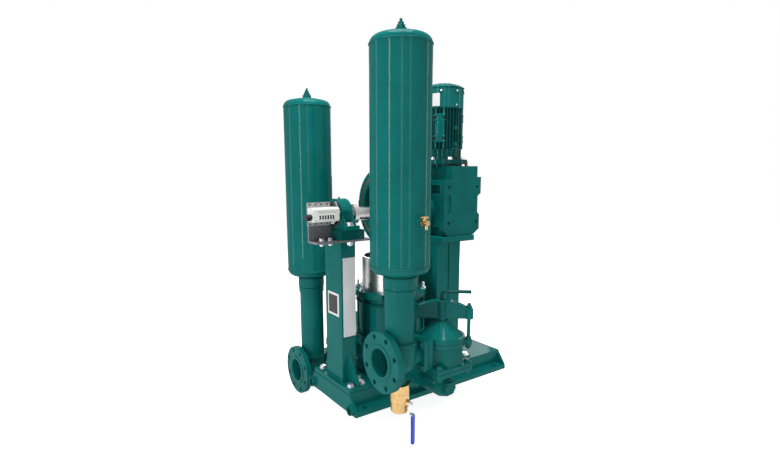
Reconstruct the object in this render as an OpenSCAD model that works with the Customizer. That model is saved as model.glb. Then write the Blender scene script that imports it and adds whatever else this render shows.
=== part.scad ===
// Simplex plunger pump on a fabricated base: a crank-driven hollow plunger between a suction line and a
// discharge line, each with a ball valve chamber, a tee and an air chamber. X runs along the crankshaft,
// Y across it from the discharge side to the suction side, Z is up. The origin is the middle of the foot.

/* [Base] */
// Length of the base along the crankshaft
base_length = 872; // [800:1:940]
// Width of the base over its foot rails
base_width = 392; // [372:1:420]
// Width of the deck plate
deck_width = 308; // [300:1:320]
// Height of the base
base_height = 86; // [80:1:92]
// Thickness of the deck, web and end plates
base_plate = 10; // [6:1:12]
// Height of the foot rails
rail_height = 22; // [16:1:26]
// Diameter of the anchor holes
anchor_hole = 18; // [14:1:22]

/* [Pump cylinder] */
// X of the pump axis, which the valve chambers share
pump_x = -126; // [-134:1:-118]
// Diameter of the plunger
plunger_d = 254; // [246:1:256]
// Wall thickness of the hollow plunger
plunger_wall = 10; // [6:1:12]
// Length of the plunger
plunger_length = 352; // [340:1:356]
// Height of the plunger's rim at rest
plunger_top = 603; // [600:1:606]
// Radial width of the packing
packing_width = 9; // [8:1:9]
// Radial clearance between the plunger and the bores it runs in
plunger_clearance = 0.5; // [0.4:0.1:0.8]
// Diameter of the gland and of the cylinder's flange
gland_d = 310; // [308:1:316]
// Diameter of the gland studs
stud_d = 12; // [10:1:12]

/* [Crank and rod] */
// Height of the crankshaft
shaft_z = 795; // [792:1:800]
// Diameter of the crankshaft
shaft_d = 55; // [50:1:56]
// Throw of the eccentric, half the stroke
throw = 30; // [26:1:30]
// Angle of the eccentric at rest, from the suction side
rest_angle = 53; // [40:1:60]
// Outer diameter of the strap round the eccentric
strap_d = 336; // [330:1:340]
// Width of the strap
strap_width = 92; // [84:1:96]
// Diameter of the wrist pin
wrist_pin_d = 30; // [26:1:34]

/* [Lines] */
// Distance of the discharge line from the pump axis
line_y = 347; // [340:1:352]
// Distance of the suction line from the pump axis
suction_y = 372; // [366:1:378]
// X of the tees and air chambers
line_x = -334; // [-338:1:-330]
// Height of the discharge line's axis
discharge_z = 281; // [278:1:284]
// How much lower the suction tee is than the discharge tee
suction_drop = 275; // [270:1:280]
// How much lower the suction valve chamber is than the discharge one
chamber_drop = 122; // [120:1:124]
// How much lower the suction air chamber is than the discharge one
air_drop = 129; // [124:1:134]
// Diameter of the pipe flanges
flange_d = 228.6; // [222:0.1:232]
// Thickness of the pipe flanges
flange_t = 24; // [20:1:26]
// Bolt circle of the pipe flanges
flange_pcd = 190.5; // [188:0.1:192]
// Bolt holes in a pipe flange
flange_holes = 8; // [4:1:8]
// Diameter of the bolt holes
flange_hole_d = 19; // [16:1:20]
// Bore of the line
bore_d = 104; // [96:1:106]
// Distance from the tee's centre to its faces
tee_reach = 93; // [92:1:95]
// Height of the tee's collar above its centre
tee_top = 67; // [65:1:72]
// Diameter of the tee's body
tee_d = 124; // [120:1:128]
// Diameter of the riser pipe
riser_d = 112; // [108:1:114]
// Diameter of the coupling under the air chamber
coupling_d = 124; // [120:1:128]

/* [Air chambers] */
// Diameter of an air chamber
air_d = 219; // [212:1:222]
// Wall thickness of an air chamber
air_wall = 8; // [6:1:10]
// Height of the discharge air chamber's lower weld
air_bottom = 635; // [630:1:644]
// Length between the welds
air_length = 760; // [740:1:780]
// Depth of the domed heads
dome_height = 42; // [40:1:48]

/* [Valve chambers] */
// Width across the flats of the chamber body
chamber_d = 168; // [164:1:169]
// Diameter of the chamber's rim and cap
cap_d = 184; // [180:1:186]
// Width of the square bottom flange
square_flange = 180; // [176:1:184]
// Width of the square side flanges
side_flange = 116; // [112:1:118]
// Diameter of the valve ball
ball_d = 88; // [84:1:90]
// Direction in plan of the yoke on the discharge side
yoke_angle = -40; // [-45:1:-36]
// Distance from the chamber's axis to the eye bolts
yoke_reach = 106; // [105:1:108]
// Outer diameter of the duct and of the side pipes
duct_d = 94; // [92:1:98]
// Height of the duct between the cylinder and the discharge chamber
duct_z = 124; // [122:1:126]

/* [Bearing column] */
// Distance of the column from the base's end
column_in = 51; // [49:1:53]
// Width of the column along the shaft
column_width = 67; // [60:1:72]
// Depth of the column across the shaft
column_depth = 134; // [126:1:140]
// Thickness of the galvanised bracket plate
bracket_t = 8; // [6:1:8]

/* [Drive] */
// X of the motor
motor_x = 174; // [170:1:178]
// Radius of the motor's cowl
cowl_r = 93; // [91:1:96]
// Low X face of the gear reducer
reducer_x0 = 77; // [75:1:79]
// High X face of the gear reducer
reducer_x1 = 305; // [302:1:308]
// Half depth of the gear reducer
reducer_y = 125; // [118:1:128]
// Height of the reducer's underside
reducer_z0 = 679; // [677:1:680]

/* [Hidden] */
$fn = 64;

// Colours as the photograph shows them
enamel = [0.07, 0.42, 0.40];
enamel_dark = [0.05, 0.33, 0.32];
steel = [0.72, 0.72, 0.72];
zinc = [0.78, 0.79, 0.80];
brass = [0.83, 0.66, 0.38];
bronze = [0.36, 0.27, 0.22];
black = [0.05, 0.05, 0.05];
white = [0.86, 0.86, 0.86];
grip_blue = [0.18, 0.28, 0.78];
gasket_grey = [0.25, 0.25, 0.25];

// Small shared values
cut = 1;
running_fit = 0.05;
face_gap = 0.3;
hex_sides = 6;
octagon_sides = 8;
top_side = 1;
bottom_side = -1;

// Standard fastener proportions as shares of the bolt's diameter
head_height_share = 0.64;
head_width_share = 1.72;
nut_height_share = 0.85;
washer_width_share = 2.1;
washer_height_share = 0.18;

// Base
rail_width = (base_width - deck_width) / 2;
deck_half = deck_width / 2;
base_half = base_width / 2;
base_end = base_length / 2;
anchor_x = base_end - 56 * anchor_hole / 18;
anchor_y = base_half - rail_width / 2;
stub_d = 42;
stub_wall = 4;
stub_out = 14;
stub_y = 166;
stub_z = 24;
stiffener_x = 130;

// Bearing column
foot_t = 12;
foot_width = 104;
foot_length = deck_width - 8;
foot_bolt_d = 16;
foot_bolt_x = 26;
foot_bolt_y = deck_half - 36;
column_wall = 6;
gusset_t = 10;
gusset_height = 124;
gusset_reach = 73;
column_foot_z = base_height + foot_t;
pillow_drop = 93;
column_x = column_in - base_end;
bracket_z = shaft_z - pillow_drop;
column_top = bracket_z - bracket_t;
bracket_half = 105;
bracket_front = 98;
bracket_back = 20;
bracket_left = column_x - 155;
bracket_right = column_x + 85;
leg_right = column_x - 56;
leg_height = 150;
riser_left = column_x - 55;
riser_right = column_x + 56;
riser_half = 103;
riser_h = 38;
pillow_z = bracket_z + riser_h;

// Pillow block
pillow_foot_t = 17;
pillow_foot_w = 66;
pillow_foot_half = 105;
pillow_arch_r = 67;
pillow_arch_w = 52;
pillow_bore_r = 50;
pillow_pocket_w = 36;
pillow_bolt_y = 84;
pillow_bolt_d = 16;
pillow_shoulder = 92;
insert_width = 44;
insert_hub_r = 36;
insert_hub_out = 12;
bracket_bolt_d = 12;
bracket_bolts_x = [column_x - 115, column_x - 77];
bracket_bolt_y = -60;

// Stroke counter
counter_left = column_x - 160;
counter_right = column_x - 46;
counter_z = shaft_z + 10;
counter_front = -82;
counter_back = -31;
counter_half = 27;
counter_round = 10;
counter_plate_t = 3;
counter_plate_half = 45;
counter_plate_x0 = column_x - 161;
counter_plate_x1 = column_x - 61;
slot_w = 6;
slot_l = 12;
slot_count = 4;
slot_z = 38;
wheel_axis_y = -64;
wheel_axis_z = counter_z - 9;
wheel_r = 14;
wheel_gap = 1;
wheel_count = 6;
window_left = column_x - 137;
window_right = column_x - 68;
window_height = 16;
counter_shaft_r = 3;
knob_r = 12;
knob_left = column_x - 184;
knob_neck = 5;
lever_pivot_y = -68;
lever_pivot_z = counter_z + 6;
lever_length = 42;
lever_w = 14;
lever_t = 5;
lever_shaft_r = 4;
lever_lean = 34;

// Pump cylinder
plunger_r = plunger_d / 2;
box_bore_r = plunger_r + packing_width + face_gap;
throat_r = plunger_r + plunger_clearance;
box_wall = 5.5;
cylinder_r = box_bore_r + box_wall;
gland_r = gland_d / 2;
stud_pcd_r = cylinder_r + 1 + stud_d / 2;
stud_count = 8;
box_bottom = 330;
cylinder_top = 398;
cylinder_floor = 20;
chamber_bore_r = throat_r + 2;
lug_ring_z = 240;
lug_ring_t = 22;
barrel_wall = 7;
gland_top = 456;
gland_flange_t = 26;
gland_gap = 6;
gland_skirt_r = cylinder_r - 2;
gland_relief = 4;
packing_top = cylinder_top - 14;
packing_rings = 4;
stud_over = 30;
cylinder_foot = 300;
cylinder_foot_t = 16;
cylinder_foot_corner = 40;
cylinder_bolt = 122;
cylinder_bolt_y = deck_half - 32;
duct_r = duct_d / 2;
duct_wall = 6;
duct_bore_r = duct_r - duct_wall;
nozzle_r = 37;
nozzle_wall = 6;
nozzle_flange_r = duct_r + 26;
nozzle_flange_t = 14;
nozzle_face = 182;
nozzle_bolts_r = duct_r + 14;
nozzle_bolt_d = 10;
nozzle_bolt_count = 4;

// Plunger
plunger_bottom = plunger_top - plunger_length;
plunger_floor = 15;
wrist_z = 362;
boss_r = 27;
boss_inner = 68;
boss_bore_r = wrist_pin_d / 2 + 1;
rim_lip = 3;

// Crank and rod, with the rod leaning so that the wrist pin lies on the pump axis at rest
strap_r = strap_d / 2;
bush_outer_r = strap_r - 20;
bush_wall = 12;
eccentric_r = bush_outer_r - bush_wall - running_fit;
ecc_y = throw * cos(rest_angle);
ecc_z = shaft_z + throw * sin(rest_angle);
rod_lean = atan(ecc_y / (ecc_z - wrist_z));
rod_length = norm([ecc_y, ecc_z - wrist_z]);
rod_width = 56;
rod_neck = 90;
rod_depth = 40;
small_end_r = 31;
small_end_w = 56;
split_gap = 1;
split_lug_out = 29;
split_lug_in = 12;
split_lug_h = 24;
split_lug_w = 60;
split_bolt_d = 14;
web_t = 22;
rim_t = 16;
hub_r = 56;
hub_width = 100;
web_hole_r = 21;
web_hole_at = 84;
pin_length = 2 * (boss_inner - 1);
shaft_left = column_x - 49;
shaft_right = 330;
collar_r = 42;
collar_w = 20;
collar_x = column_x + 55;

// Lines
suction_z = discharge_z - suction_drop;
flange_r = flange_d / 2;
raised_r = 67;
raised_t = 3;
bore_r = bore_d / 2;
tee_r = tee_d / 2;
band_r = tee_r + 4;
band_h = 8;
inner_r = bore_r - 1;
flange_bore_l = 40;
neck_r = 60;
side_half = side_flange / 2;
side_t = 21;
side_bolt_at = side_half - 15.5;
side_bolt_d = 14;
side_bolt_short = 6;
side_corner = 8;
gasket_t = 1.5;
side_neck_r = 45;
side_bore_r = 38;
port_bore_r = 27;
riser_r = riser_d / 2;
riser_wall = 6;
coupling_r = coupling_d / 2;
coupling_h = 44;
coupling_groove = 3;
collar_band_h = 24;
air_r = air_d / 2;
knuckle_r = 30;
weld_h = 4;
weld_out = 2;
air_top = air_bottom + air_length;
coupling_top = air_bottom - dome_height;
drain_neck_r = 26;
drain_bore_r = 18;
suction_low = -tee_r - 8;

// Valve chambers, heights relative to the side port's axis
chamber_flange_z = -73;
chamber_flange_t = 15;
chamber_top_z = 33;
chamber_rim_t = 18;
chamber_wall = 16;
chamber_in_r = chamber_d / 2 - chamber_wall;
square_corner = 12;
square_bolt_at = square_flange / 2 - 17;
square_bolt_d = 16;
inlet_r = 36;
seat_h = 16;
seat_r = chamber_in_r - face_gap;
ball_r = ball_d / 2;
cap_rim_t = 18;
cap_cone_top = 103;
cap_cone_r = 26;
cap_boss_top = 109;
cap_wall = 12;
cap_rib_t = 10;
cap_rib_count = 4;
lug_out = 18;
lug_w = 30;
lug_t = 18;
lug_z = chamber_top_z - chamber_rim_t - 2;
yoke_bottom = 117;
yoke_end_top = 157;
yoke_mid_top = 191;
yoke_web_t = 16;
yoke_flange_t = 8;
yoke_flange_w = 34;
yoke_boss_r = 17;
yoke_end_r = 17;
eye_rod_r = 7;
eye_top = 178;
screw_r = 9;
handle_r = 7;
handle_z = 224;
handle_bend = 14;
handle_reach = 113;
seat_bore_r = inlet_r - face_gap;
ball_centre_z = chamber_flange_z + seat_h + sqrt(ball_r * ball_r - seat_bore_r * seat_bore_r);
suction_port_z = discharge_z - chamber_drop;
duct_neck_r = 44;
plug_af_r = 28;
plug_length = 14;
plug_collar = 12;
duct_over = 46;
duct_end_y = line_y + duct_over;
duct_taper = 30;
duct_taper_r = 36;
duct_end_x = 60;

// Petcock and drain valve
petcock_z = 798;
petcock_boss_r = 15;
petcock_boss_l = 12;
petcock_body_r = 9;
petcock_body_l = 34;
petcock_spout_r = 5;
petcock_spout_l = 22;
petcock_bore_r = 2.5;
petcock_stem_at = 16;
petcock_stem_r = 4;
petcock_tee_l = 30;
petcock_tee_r = 3.5;
petcock_tee_z = 18;
petcock_gland_r = 6.5;
petcock_gland_l = 13;
drain_top = 179;
drain_hex_h = 26;
drain_hex_r = 39;
drain_mid_r = 37;
drain_mid_z = 108;
drain_mid_low = 2;
drain_end_r = 33.5;
drain_end_z = 67;
drain_round = 8;
drain_socket_r = 24;
drain_socket_l = 12;
drain_turn = -65;
drain_stem_r = 6;
drain_boss_r = 13;
drain_boss_out = 43;
drain_ball_r = 25;
drain_lever_t = 3;
drain_lever_w = 26;
drain_grip_w = 19;
drain_grip_t = 9;
drain_grip_l = 118;
drain_grip_top = 44;
drain_crank = 12;
drain_nut_r = 9;
drain_nut_h = 7;

// Drive
pedestal_x0 = 55;
pedestal_x1 = 195;
pedestal_y = 110;
pedestal_slit = 6;
pedestal_wall = 8;
top_plate_x0 = 51;
top_plate_x1 = 254;
top_plate_y = 140;
top_plate_t = 24;
top_plate_z = reducer_z0 - top_plate_t;
pedestal_foot_x0 = 30;
pedestal_foot_x1 = 240;
pedestal_bolt_in = 18;
pedestal_bolt_y = deck_half - 24;
reducer_top = 994;
reducer_shoulder = 945;
reducer_block_x0 = 120;
reducer_block_x1 = 281;
cover_t = 14;
cover_gap = 1;
reducer_hub_r = 62;
reducer_hub_out = 26;
reducer_pocket_in = 22;
reducer_rib_t = 14;
reducer_bolt_d = 12;
motor_flange_r = 116;
motor_flange_t = 20;
motor_flange_z = reducer_top + 9;
motor_spigot_r = 92;
bell_r = 79;
bell_top = 1070;
fin_bottom = 1072;
fin_top = 1250;
fin_core_r = 76;
cowl_gap = 2.5;
fin_r = cowl_r - cowl_gap;
fin_count = 36;
fin_t = 3.6;
cowl_z0 = 1252;
cowl_z1 = 1338;
cowl_wall = 3;
cowl_rim_z = 1342;
dome_r = cowl_r + cowl_wall;
dome_h = 24;
fan_z = 1282;
fan_h = 34;
fan_r = fin_core_r;
fan_hub_r = 24;
fan_blades = 8;
fan_blade_t = 3;
motor_shaft_r = 12;
terminal_w = 70;
terminal_d = 34;
terminal_h = 84;
terminal_z = 1120;

// Shared solids

module tube(r_out, r_in, h) {
  difference() {
    cylinder(r = r_out, h = h);
    up(-cut) cylinder(r = r_in, h = h + 2 * cut);
  }
}

module up(z) {
  translate([0, 0, z]) children();
}

module at_pump(z) {
  translate([pump_x, 0, z]) children();
}

module along_x() {
  rotate([0, 90, 0]) children();
}

module on_shaft(x) {
  translate([x, 0, shaft_z]) along_x() children();
}

module along_y() {
  rotate([-90, 0, 0]) children();
}

// A square outline with true round corners
module rounded_square(width, depth, r) {
  square([width - 2 * r, depth], center = true);
  square([width, depth - 2 * r], center = true);
  for (sx = [-1, 1])
    for (sy = [-1, 1])
      translate([sx * (width / 2 - r), sy * (depth / 2 - r)]) circle(r = r);
}

module rounded_plate(width, depth, h, r) {
  linear_extrude(h) rounded_square(width, depth, r);
}

// Hexagon head on a washer, standing on z = 0
module bolt_head(d) {
  cylinder(d = washer_width_share * d, h = washer_height_share * d);
  up(washer_height_share * d)
    cylinder(d = head_width_share * d, h = head_height_share * d, $fn = hex_sides);
}

// Bolt with its washer seated at z = 0 and its nut under the grip
module through_bolt(d, grip) {
  bolt_head(d);
  up(-grip - nut_height_share * d - d / 4)
    cylinder(d = d - 1 / d, h = grip + nut_height_share * d + d / 4 + washer_height_share * d);
  up(-grip - nut_height_share * d)
    cylinder(d = head_width_share * d, h = nut_height_share * d, $fn = hex_sides);
}

// Bolt into a blind hole
module blind_bolt(d, depth) {
  bolt_head(d);
  up(-depth) cylinder(d = d - 1 / d, h = depth + washer_height_share * d);
}

module bolt_hole(d, depth) {
  up(-depth) cylinder(d = d, h = depth + cut);
}

module at_corners(x, y) {
  for (sx = [-1, 1])
    for (sy = [-1, 1])
      translate([sx * x, sy * y, 0]) children();
}

// Base

module base_end_plate() {
  rotate([90, 0, 90])
    linear_extrude(base_plate)
      polygon([
        [-base_half, 0], [base_half, 0], [base_half, rail_height],
        [deck_half, base_height - base_plate], [-deck_half, base_height - base_plate],
        [-base_half, rail_height]
      ]);
}

module base_frame() {
  color(enamel) difference() {
    union() {
      translate([-base_end, -deck_half, base_height - base_plate])
        cube([base_length, deck_width, base_plate]);
      translate([-base_end, 0, 0]) base_end_plate();
      translate([base_end - base_plate, 0, 0]) base_end_plate();
      for (s = [-1, 1]) {
        translate([-base_end, s * (deck_half - base_plate / 2) - base_plate / 2, 0])
          cube([base_length, base_plate, base_height]);
        translate([-base_end, s * anchor_y - rail_width / 2, 0])
          cube([base_length, rail_width, rail_height]);
        translate([-base_end - stub_out, s * stub_y, stub_z])
          along_x() cylinder(d = stub_d, h = stub_out + base_plate);
      }
      for (x = [-stiffener_x, stiffener_x])
        translate([x, -deck_half, 0]) cube([base_plate, deck_width, base_height]);
    }
    for (s = [-1, 1]) {
      translate([-base_end - stub_out - cut, s * stub_y, stub_z])
        along_x() cylinder(d = stub_d - 2 * stub_wall, h = stub_out + base_plate + cut);
      for (x = [-anchor_x, anchor_x])
        translate([x, s * anchor_y, -cut]) cylinder(d = anchor_hole, h = rail_height + 2 * cut);
    }
    at_column_bolts() bolt_hole(foot_bolt_d, base_plate + foot_t + cut);
    at_pedestal_bolts() bolt_hole(foot_bolt_d, base_plate + foot_t + cut);
    at_cylinder_bolts() bolt_hole(foot_bolt_d, base_plate + cylinder_foot_t + cut);
  }
}

module at_column_bolts() {
  translate([column_x, 0, column_foot_z]) at_corners(foot_bolt_x, foot_bolt_y) children();
}

module at_pedestal_bolts() {
  translate([(pedestal_foot_x0 + pedestal_foot_x1) / 2, 0, column_foot_z])
    at_corners((pedestal_foot_x1 - pedestal_foot_x0) / 2 - pedestal_bolt_in, pedestal_bolt_y) children();
}

module at_cylinder_bolts() {
  at_pump(base_height + cylinder_foot_t)
    at_corners(cylinder_bolt, cylinder_bolt_y) children();
}

module anchor_bolts() {
  color(zinc) {
    at_column_bolts() through_bolt(foot_bolt_d, foot_t + base_plate);
    at_pedestal_bolts() through_bolt(foot_bolt_d, foot_t + base_plate);
    at_cylinder_bolts() through_bolt(foot_bolt_d, cylinder_foot_t + base_plate);
  }
}

// Bearing column

module foot_plate(x0, x1) {
  translate([x0, -foot_length / 2, base_height]) cube([x1 - x0, foot_length, foot_t]);
}

module gusset() {
  rotate([90, 0, 90])
    linear_extrude(gusset_t)
      polygon([[0, 0], [gusset_reach, 0], [gusset_reach, gusset_t], [0, gusset_height]]);
}

module bearing_column() {
  color(enamel) difference() {
    union() {
      foot_plate(column_x - foot_width / 2, column_x + foot_width / 2);
      translate([column_x - column_width / 2, -column_depth / 2, column_foot_z])
        cube([column_width, column_depth, column_top - column_foot_z]);
      translate([column_x - gusset_t / 2, 0, column_foot_z])
        for (s = [0, 1])
          mirror([0, s, 0]) translate([0, column_depth / 2, 0]) gusset();
    }
    translate([
      column_x - column_width / 2 + column_wall,
      -column_depth / 2 + column_wall,
      column_foot_z
    ])
      cube([
        column_width - 2 * column_wall,
        column_depth - 2 * column_wall,
        column_top - column_foot_z - foot_t
      ]);
    at_column_bolts() bolt_hole(foot_bolt_d, foot_t + cut);
  }
}

plate_t = 3;
plate_z0 = 294;
plate_z1 = 625;
plate_x0 = column_x - 26;
plate_x1 = column_x + 32;
data_y = 45;
data_z0 = 376;
data_z1 = 473;
data_t = 1.5;

module name_plates() {
  color(white)
    translate([plate_x0, -column_depth / 2 - plate_t, plate_z0])
      cube([plate_x1 - plate_x0, plate_t, plate_z1 - plate_z0]);
  color(steel)
    translate([column_x - column_width / 2 - data_t, -data_y, data_z0])
      cube([data_t, 2 * data_y, data_z1 - data_z0]);
}

module bearing_bracket() {
  color(zinc) difference() {
    union() {
      translate([leg_right, -bracket_half, column_top])
        cube([bracket_right - leg_right, 2 * bracket_half, bracket_t]);
      translate([bracket_left, -bracket_front, column_top])
        cube([leg_right - bracket_left, bracket_front - bracket_back, bracket_t]);
      translate([bracket_left, -bracket_back - bracket_t, column_top])
        cube([leg_right - bracket_left, bracket_t, leg_height + bracket_t]);
    }
    for (x = bracket_bolts_x)
      translate([x, bracket_bolt_y, bracket_z]) bolt_hole(bracket_bolt_d, bracket_t + cut);
    at_pillow_bolts() bolt_hole(pillow_bolt_d, pillow_foot_t + riser_h + bracket_t + cut);
  }
}

module bearing_riser() {
  color(enamel_dark) difference() {
    translate([riser_left, -riser_half, bracket_z])
      cube([riser_right - riser_left, 2 * riser_half, riser_h]);
    at_pillow_bolts() bolt_hole(pillow_bolt_d, pillow_foot_t + riser_h + cut);
  }
}

module at_pillow_bolts() {
  for (s = [-1, 1])
    translate([column_x, s * pillow_bolt_y, pillow_z + pillow_foot_t]) children();
}

// Pillow block, drawn across the shaft and extruded along it

module pillow_outline() {
  intersection() {
    translate([0, shaft_z]) circle(r = pillow_arch_r);
    translate([-pillow_arch_r, pillow_z]) square(2 * pillow_arch_r);
  }
  polygon([
    [-pillow_shoulder, pillow_z + pillow_foot_t], [pillow_shoulder, pillow_z + pillow_foot_t],
    [pillow_arch_r, shaft_z], [-pillow_arch_r, shaft_z]
  ]);
  translate([-pillow_foot_half, pillow_z]) square([2 * pillow_foot_half, pillow_foot_t]);
}

module across_x(x0, w) {
  translate([x0, 0, 0]) rotate([90, 0, 90]) linear_extrude(w) children();
}

module pillow_block() {
  color(enamel) difference() {
    union() {
      across_x(column_x - pillow_arch_w / 2, pillow_arch_w) pillow_outline();
      translate([column_x - pillow_foot_w / 2, -pillow_foot_half, pillow_z])
        cube([pillow_foot_w, 2 * pillow_foot_half, pillow_foot_t]);
    }
    on_shaft(column_x - pillow_arch_w) cylinder(r = pillow_bore_r, h = 2 * pillow_arch_w);
    for (s = [-1, 1])
      translate([
        column_x - pillow_pocket_w / 2,
        s * (pillow_bolt_y + pillow_bolt_d) - pillow_pocket_w,
        pillow_z + pillow_foot_t
      ])
        cube([pillow_pocket_w, 2 * pillow_pocket_w, pillow_arch_r]);
    at_pillow_bolts() bolt_hole(pillow_bolt_d, pillow_foot_t + cut);
  }
}

module bearing_insert() {
  color(steel) difference() {
    union() {
      on_shaft(column_x - insert_width / 2) cylinder(r = pillow_bore_r - running_fit, h = insert_width);
      on_shaft(column_x - insert_width / 2 - insert_hub_out) cylinder(r = insert_hub_r, h = insert_width + 2 * insert_hub_out);
    }
    on_shaft(column_x - insert_width) cylinder(d = shaft_d + 2 * running_fit, h = 2 * insert_width);
  }
}

module bearing_bolts() {
  color(zinc) {
    at_pillow_bolts() through_bolt(pillow_bolt_d, pillow_foot_t + riser_h + bracket_t);
    for (x = bracket_bolts_x)
      translate([x, bracket_bolt_y, bracket_z]) through_bolt(bracket_bolt_d, bracket_t);
  }
}

// Stroke counter

module counter_outline() {
  translate([(counter_front + counter_back) / 2, counter_z])
    rounded_square(counter_back - counter_front, 2 * counter_half, counter_round);
}

module counter_body() {
  color(zinc) difference() {
    union() {
      across_x(counter_left, counter_right - counter_left) counter_outline();
      translate([
        counter_plate_x0,
        -bracket_back - bracket_t - counter_plate_t,
        counter_z - counter_plate_half
      ])
        cube([counter_plate_x1 - counter_plate_x0, counter_plate_t, 2 * counter_plate_half]);
    }
    translate([window_left - wheel_gap, wheel_axis_y, wheel_axis_z])
      along_x() cylinder(r = wheel_r + wheel_gap, h = window_right - window_left + 2 * wheel_gap);
    translate([window_left, counter_front - cut, wheel_axis_z - window_height / 2])
      cube([window_right - window_left, wheel_axis_y - counter_front, window_height]);
    translate([counter_left - cut, wheel_axis_y, wheel_axis_z])
      along_x() cylinder(r = counter_shaft_r + running_fit, h = window_left - counter_left + 2 * cut);
    translate([window_right, wheel_axis_y, wheel_axis_z])
      along_x() cylinder(r = counter_shaft_r + running_fit, h = wheel_r / 2);
    translate([counter_right - wheel_r / 2, lever_pivot_y, lever_pivot_z])
      along_x() cylinder(r = lever_shaft_r + running_fit, h = wheel_r);
    for (i = [0:slot_count - 1])
      for (s = [-1, 1])
        translate([
          counter_plate_x0
            + (counter_plate_x1 - counter_plate_x0) * (i + 0.5) / slot_count - slot_l / 2,
          -bracket_back - bracket_t - counter_plate_t - cut,
          counter_z + s * slot_z - slot_w / 2
        ])
          cube([slot_l, counter_plate_t + 2 * cut, slot_w]);
  }
}

module counter_wheels() {
  wheel_pitch = (window_right - window_left) / wheel_count;
  color(black) {
    for (i = [0:wheel_count - 1])
      translate([window_left + i * wheel_pitch + wheel_gap / 2, wheel_axis_y, wheel_axis_z])
        along_x() tube(wheel_r, counter_shaft_r, wheel_pitch - wheel_gap);
    translate([window_left, wheel_axis_y, wheel_axis_z])
      along_x() cylinder(r = counter_shaft_r, h = window_right - window_left + wheel_r / 2 - cut);
  }
}

module counter_knob() {
  color(black) {
    translate([knob_left, wheel_axis_y, wheel_axis_z])
      along_x() cylinder(r = knob_r, h = counter_left - knob_left - knob_neck, $fn = 20);
    translate([counter_left - knob_neck, wheel_axis_y, wheel_axis_z])
      along_x() cylinder(r = counter_shaft_r, h = knob_neck + window_left - counter_left);
  }
}

module counter_lever() {
  color(steel) {
    translate([counter_right - wheel_r / 2 + cut, lever_pivot_y, lever_pivot_z])
      along_x() cylinder(r = lever_shaft_r, h = wheel_r / 2 + lever_t);
    translate([counter_right + face_gap, lever_pivot_y, lever_pivot_z])
      rotate([-lever_lean, 0, 0])
        along_x() {
          cylinder(d = lever_w, h = lever_t);
          translate([-lever_length, 0, 0]) cylinder(d = lever_w, h = lever_t);
          translate([-lever_length, -lever_w / 2, 0]) cube([lever_length, lever_w, lever_t]);
        }
  }
}

// Pump cylinder

module at_studs() {
  for (i = [0:stud_count - 1])
    at_pump(0) rotate([0, 0, i * 360 / stud_count])
      translate([stud_pcd_r, 0, 0]) children();
}

module pump_cylinder() {
  side_reach = suction_y - chamber_side_face() - side_t - gasket_t;
  color(enamel) difference() {
    union() {
      at_pump(base_height)
        rounded_plate(cylinder_foot, foot_length, cylinder_foot_t, cylinder_foot_corner);
      at_pump(base_height)
        cylinder(r = chamber_bore_r + barrel_wall, h = cylinder_top - base_height);
      at_pump(lug_ring_z) cylinder(r = cylinder_r, h = cylinder_top - lug_ring_z);
      at_pump(lug_ring_z)
        cylinder(r = stud_pcd_r + stud_d, h = lug_ring_t);
      at_pump(duct_z) rotate([90, 0, 0]) cylinder(r = nozzle_r, h = nozzle_face);
      translate([pump_x, -nozzle_face + nozzle_flange_t, duct_z])
        rotate([90, 0, 0]) cylinder(r = nozzle_flange_r, h = nozzle_flange_t);
      at_pump(suction_port_z) along_y() cylinder(r = side_neck_r, h = side_reach);
      translate([pump_x, side_reach + side_t, suction_port_z])
        rotate([90, 0, 0]) rounded_plate(side_flange, side_flange, side_t, side_corner);
    }
    at_pump(base_height + cylinder_floor)
      cylinder(r = chamber_bore_r, h = box_bottom - base_height - 2 * cylinder_floor);
    at_pump(base_height + cylinder_floor) cylinder(r = throat_r, h = cylinder_top);
    at_pump(box_bottom) cylinder(r = box_bore_r, h = cylinder_top);
    at_pump(duct_z)
      rotate([90, 0, 0]) cylinder(r = nozzle_r - nozzle_wall, h = nozzle_face + cut);
    at_pump(suction_port_z)
      along_y() cylinder(r = side_bore_r, h = side_reach + side_t + cut);
    at_studs() up(lug_ring_z - cut) cylinder(d = stud_d + 1, h = lug_ring_t + 2 * cut);
    at_cylinder_bolts() bolt_hole(foot_bolt_d, cylinder_foot_t + cut);
    at_nozzle_bolts() bolt_hole(nozzle_bolt_d, 2 * nozzle_flange_t + cut);
    at_suction_side_bolts() bolt_hole(side_bolt_d, 2 * side_t + gasket_t + cut);
  }
}

module packing() {
  ring_h = (packing_top - box_bottom) / packing_rings;
  color(gasket_grey)
    at_pump(box_bottom)
      for (i = [0:packing_rings - 1])
        up(i * ring_h)
          tube(plunger_r + packing_width, plunger_r + face_gap, ring_h - face_gap / packing_rings);
}

module packing_gland() {
  color(enamel) difference() {
    union() {
      at_pump(packing_top) cylinder(r = box_bore_r - face_gap, h = gland_top - packing_top);
      at_pump(cylinder_top + gland_gap)
        cylinder(r = gland_skirt_r, h = gland_top - cylinder_top - gland_gap);
      at_pump(gland_top - gland_flange_t) cylinder(r = gland_r + stud_d / 2, h = gland_flange_t);
      at_pump(cylinder_top + gland_gap)
        cylinder(r = gland_r, h = gland_relief);
    }
    at_pump(packing_top - cut) cylinder(r = throat_r, h = gland_top);
    at_studs() {
      up(cylinder_top) cylinder(d = stud_d + 1, h = gland_top);
      translate([0, -stud_d / 2 - 1 / 2, cylinder_top]) cube([2 * stud_d, stud_d + 1, gland_top]);
    }
  }
}

module gland_studs() {
  stud_bottom = lug_ring_z - nut_height_share * stud_d - stud_d / 2;
  color(zinc) at_studs() {
    up(stud_bottom) cylinder(d = stud_d - face_gap, h = gland_top + stud_over - stud_bottom);
    up(lug_ring_z - nut_height_share * stud_d)
      cylinder(d = head_width_share * stud_d, h = nut_height_share * stud_d, $fn = hex_sides);
    up(gland_top) bolt_head(stud_d);
  }
}

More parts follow.
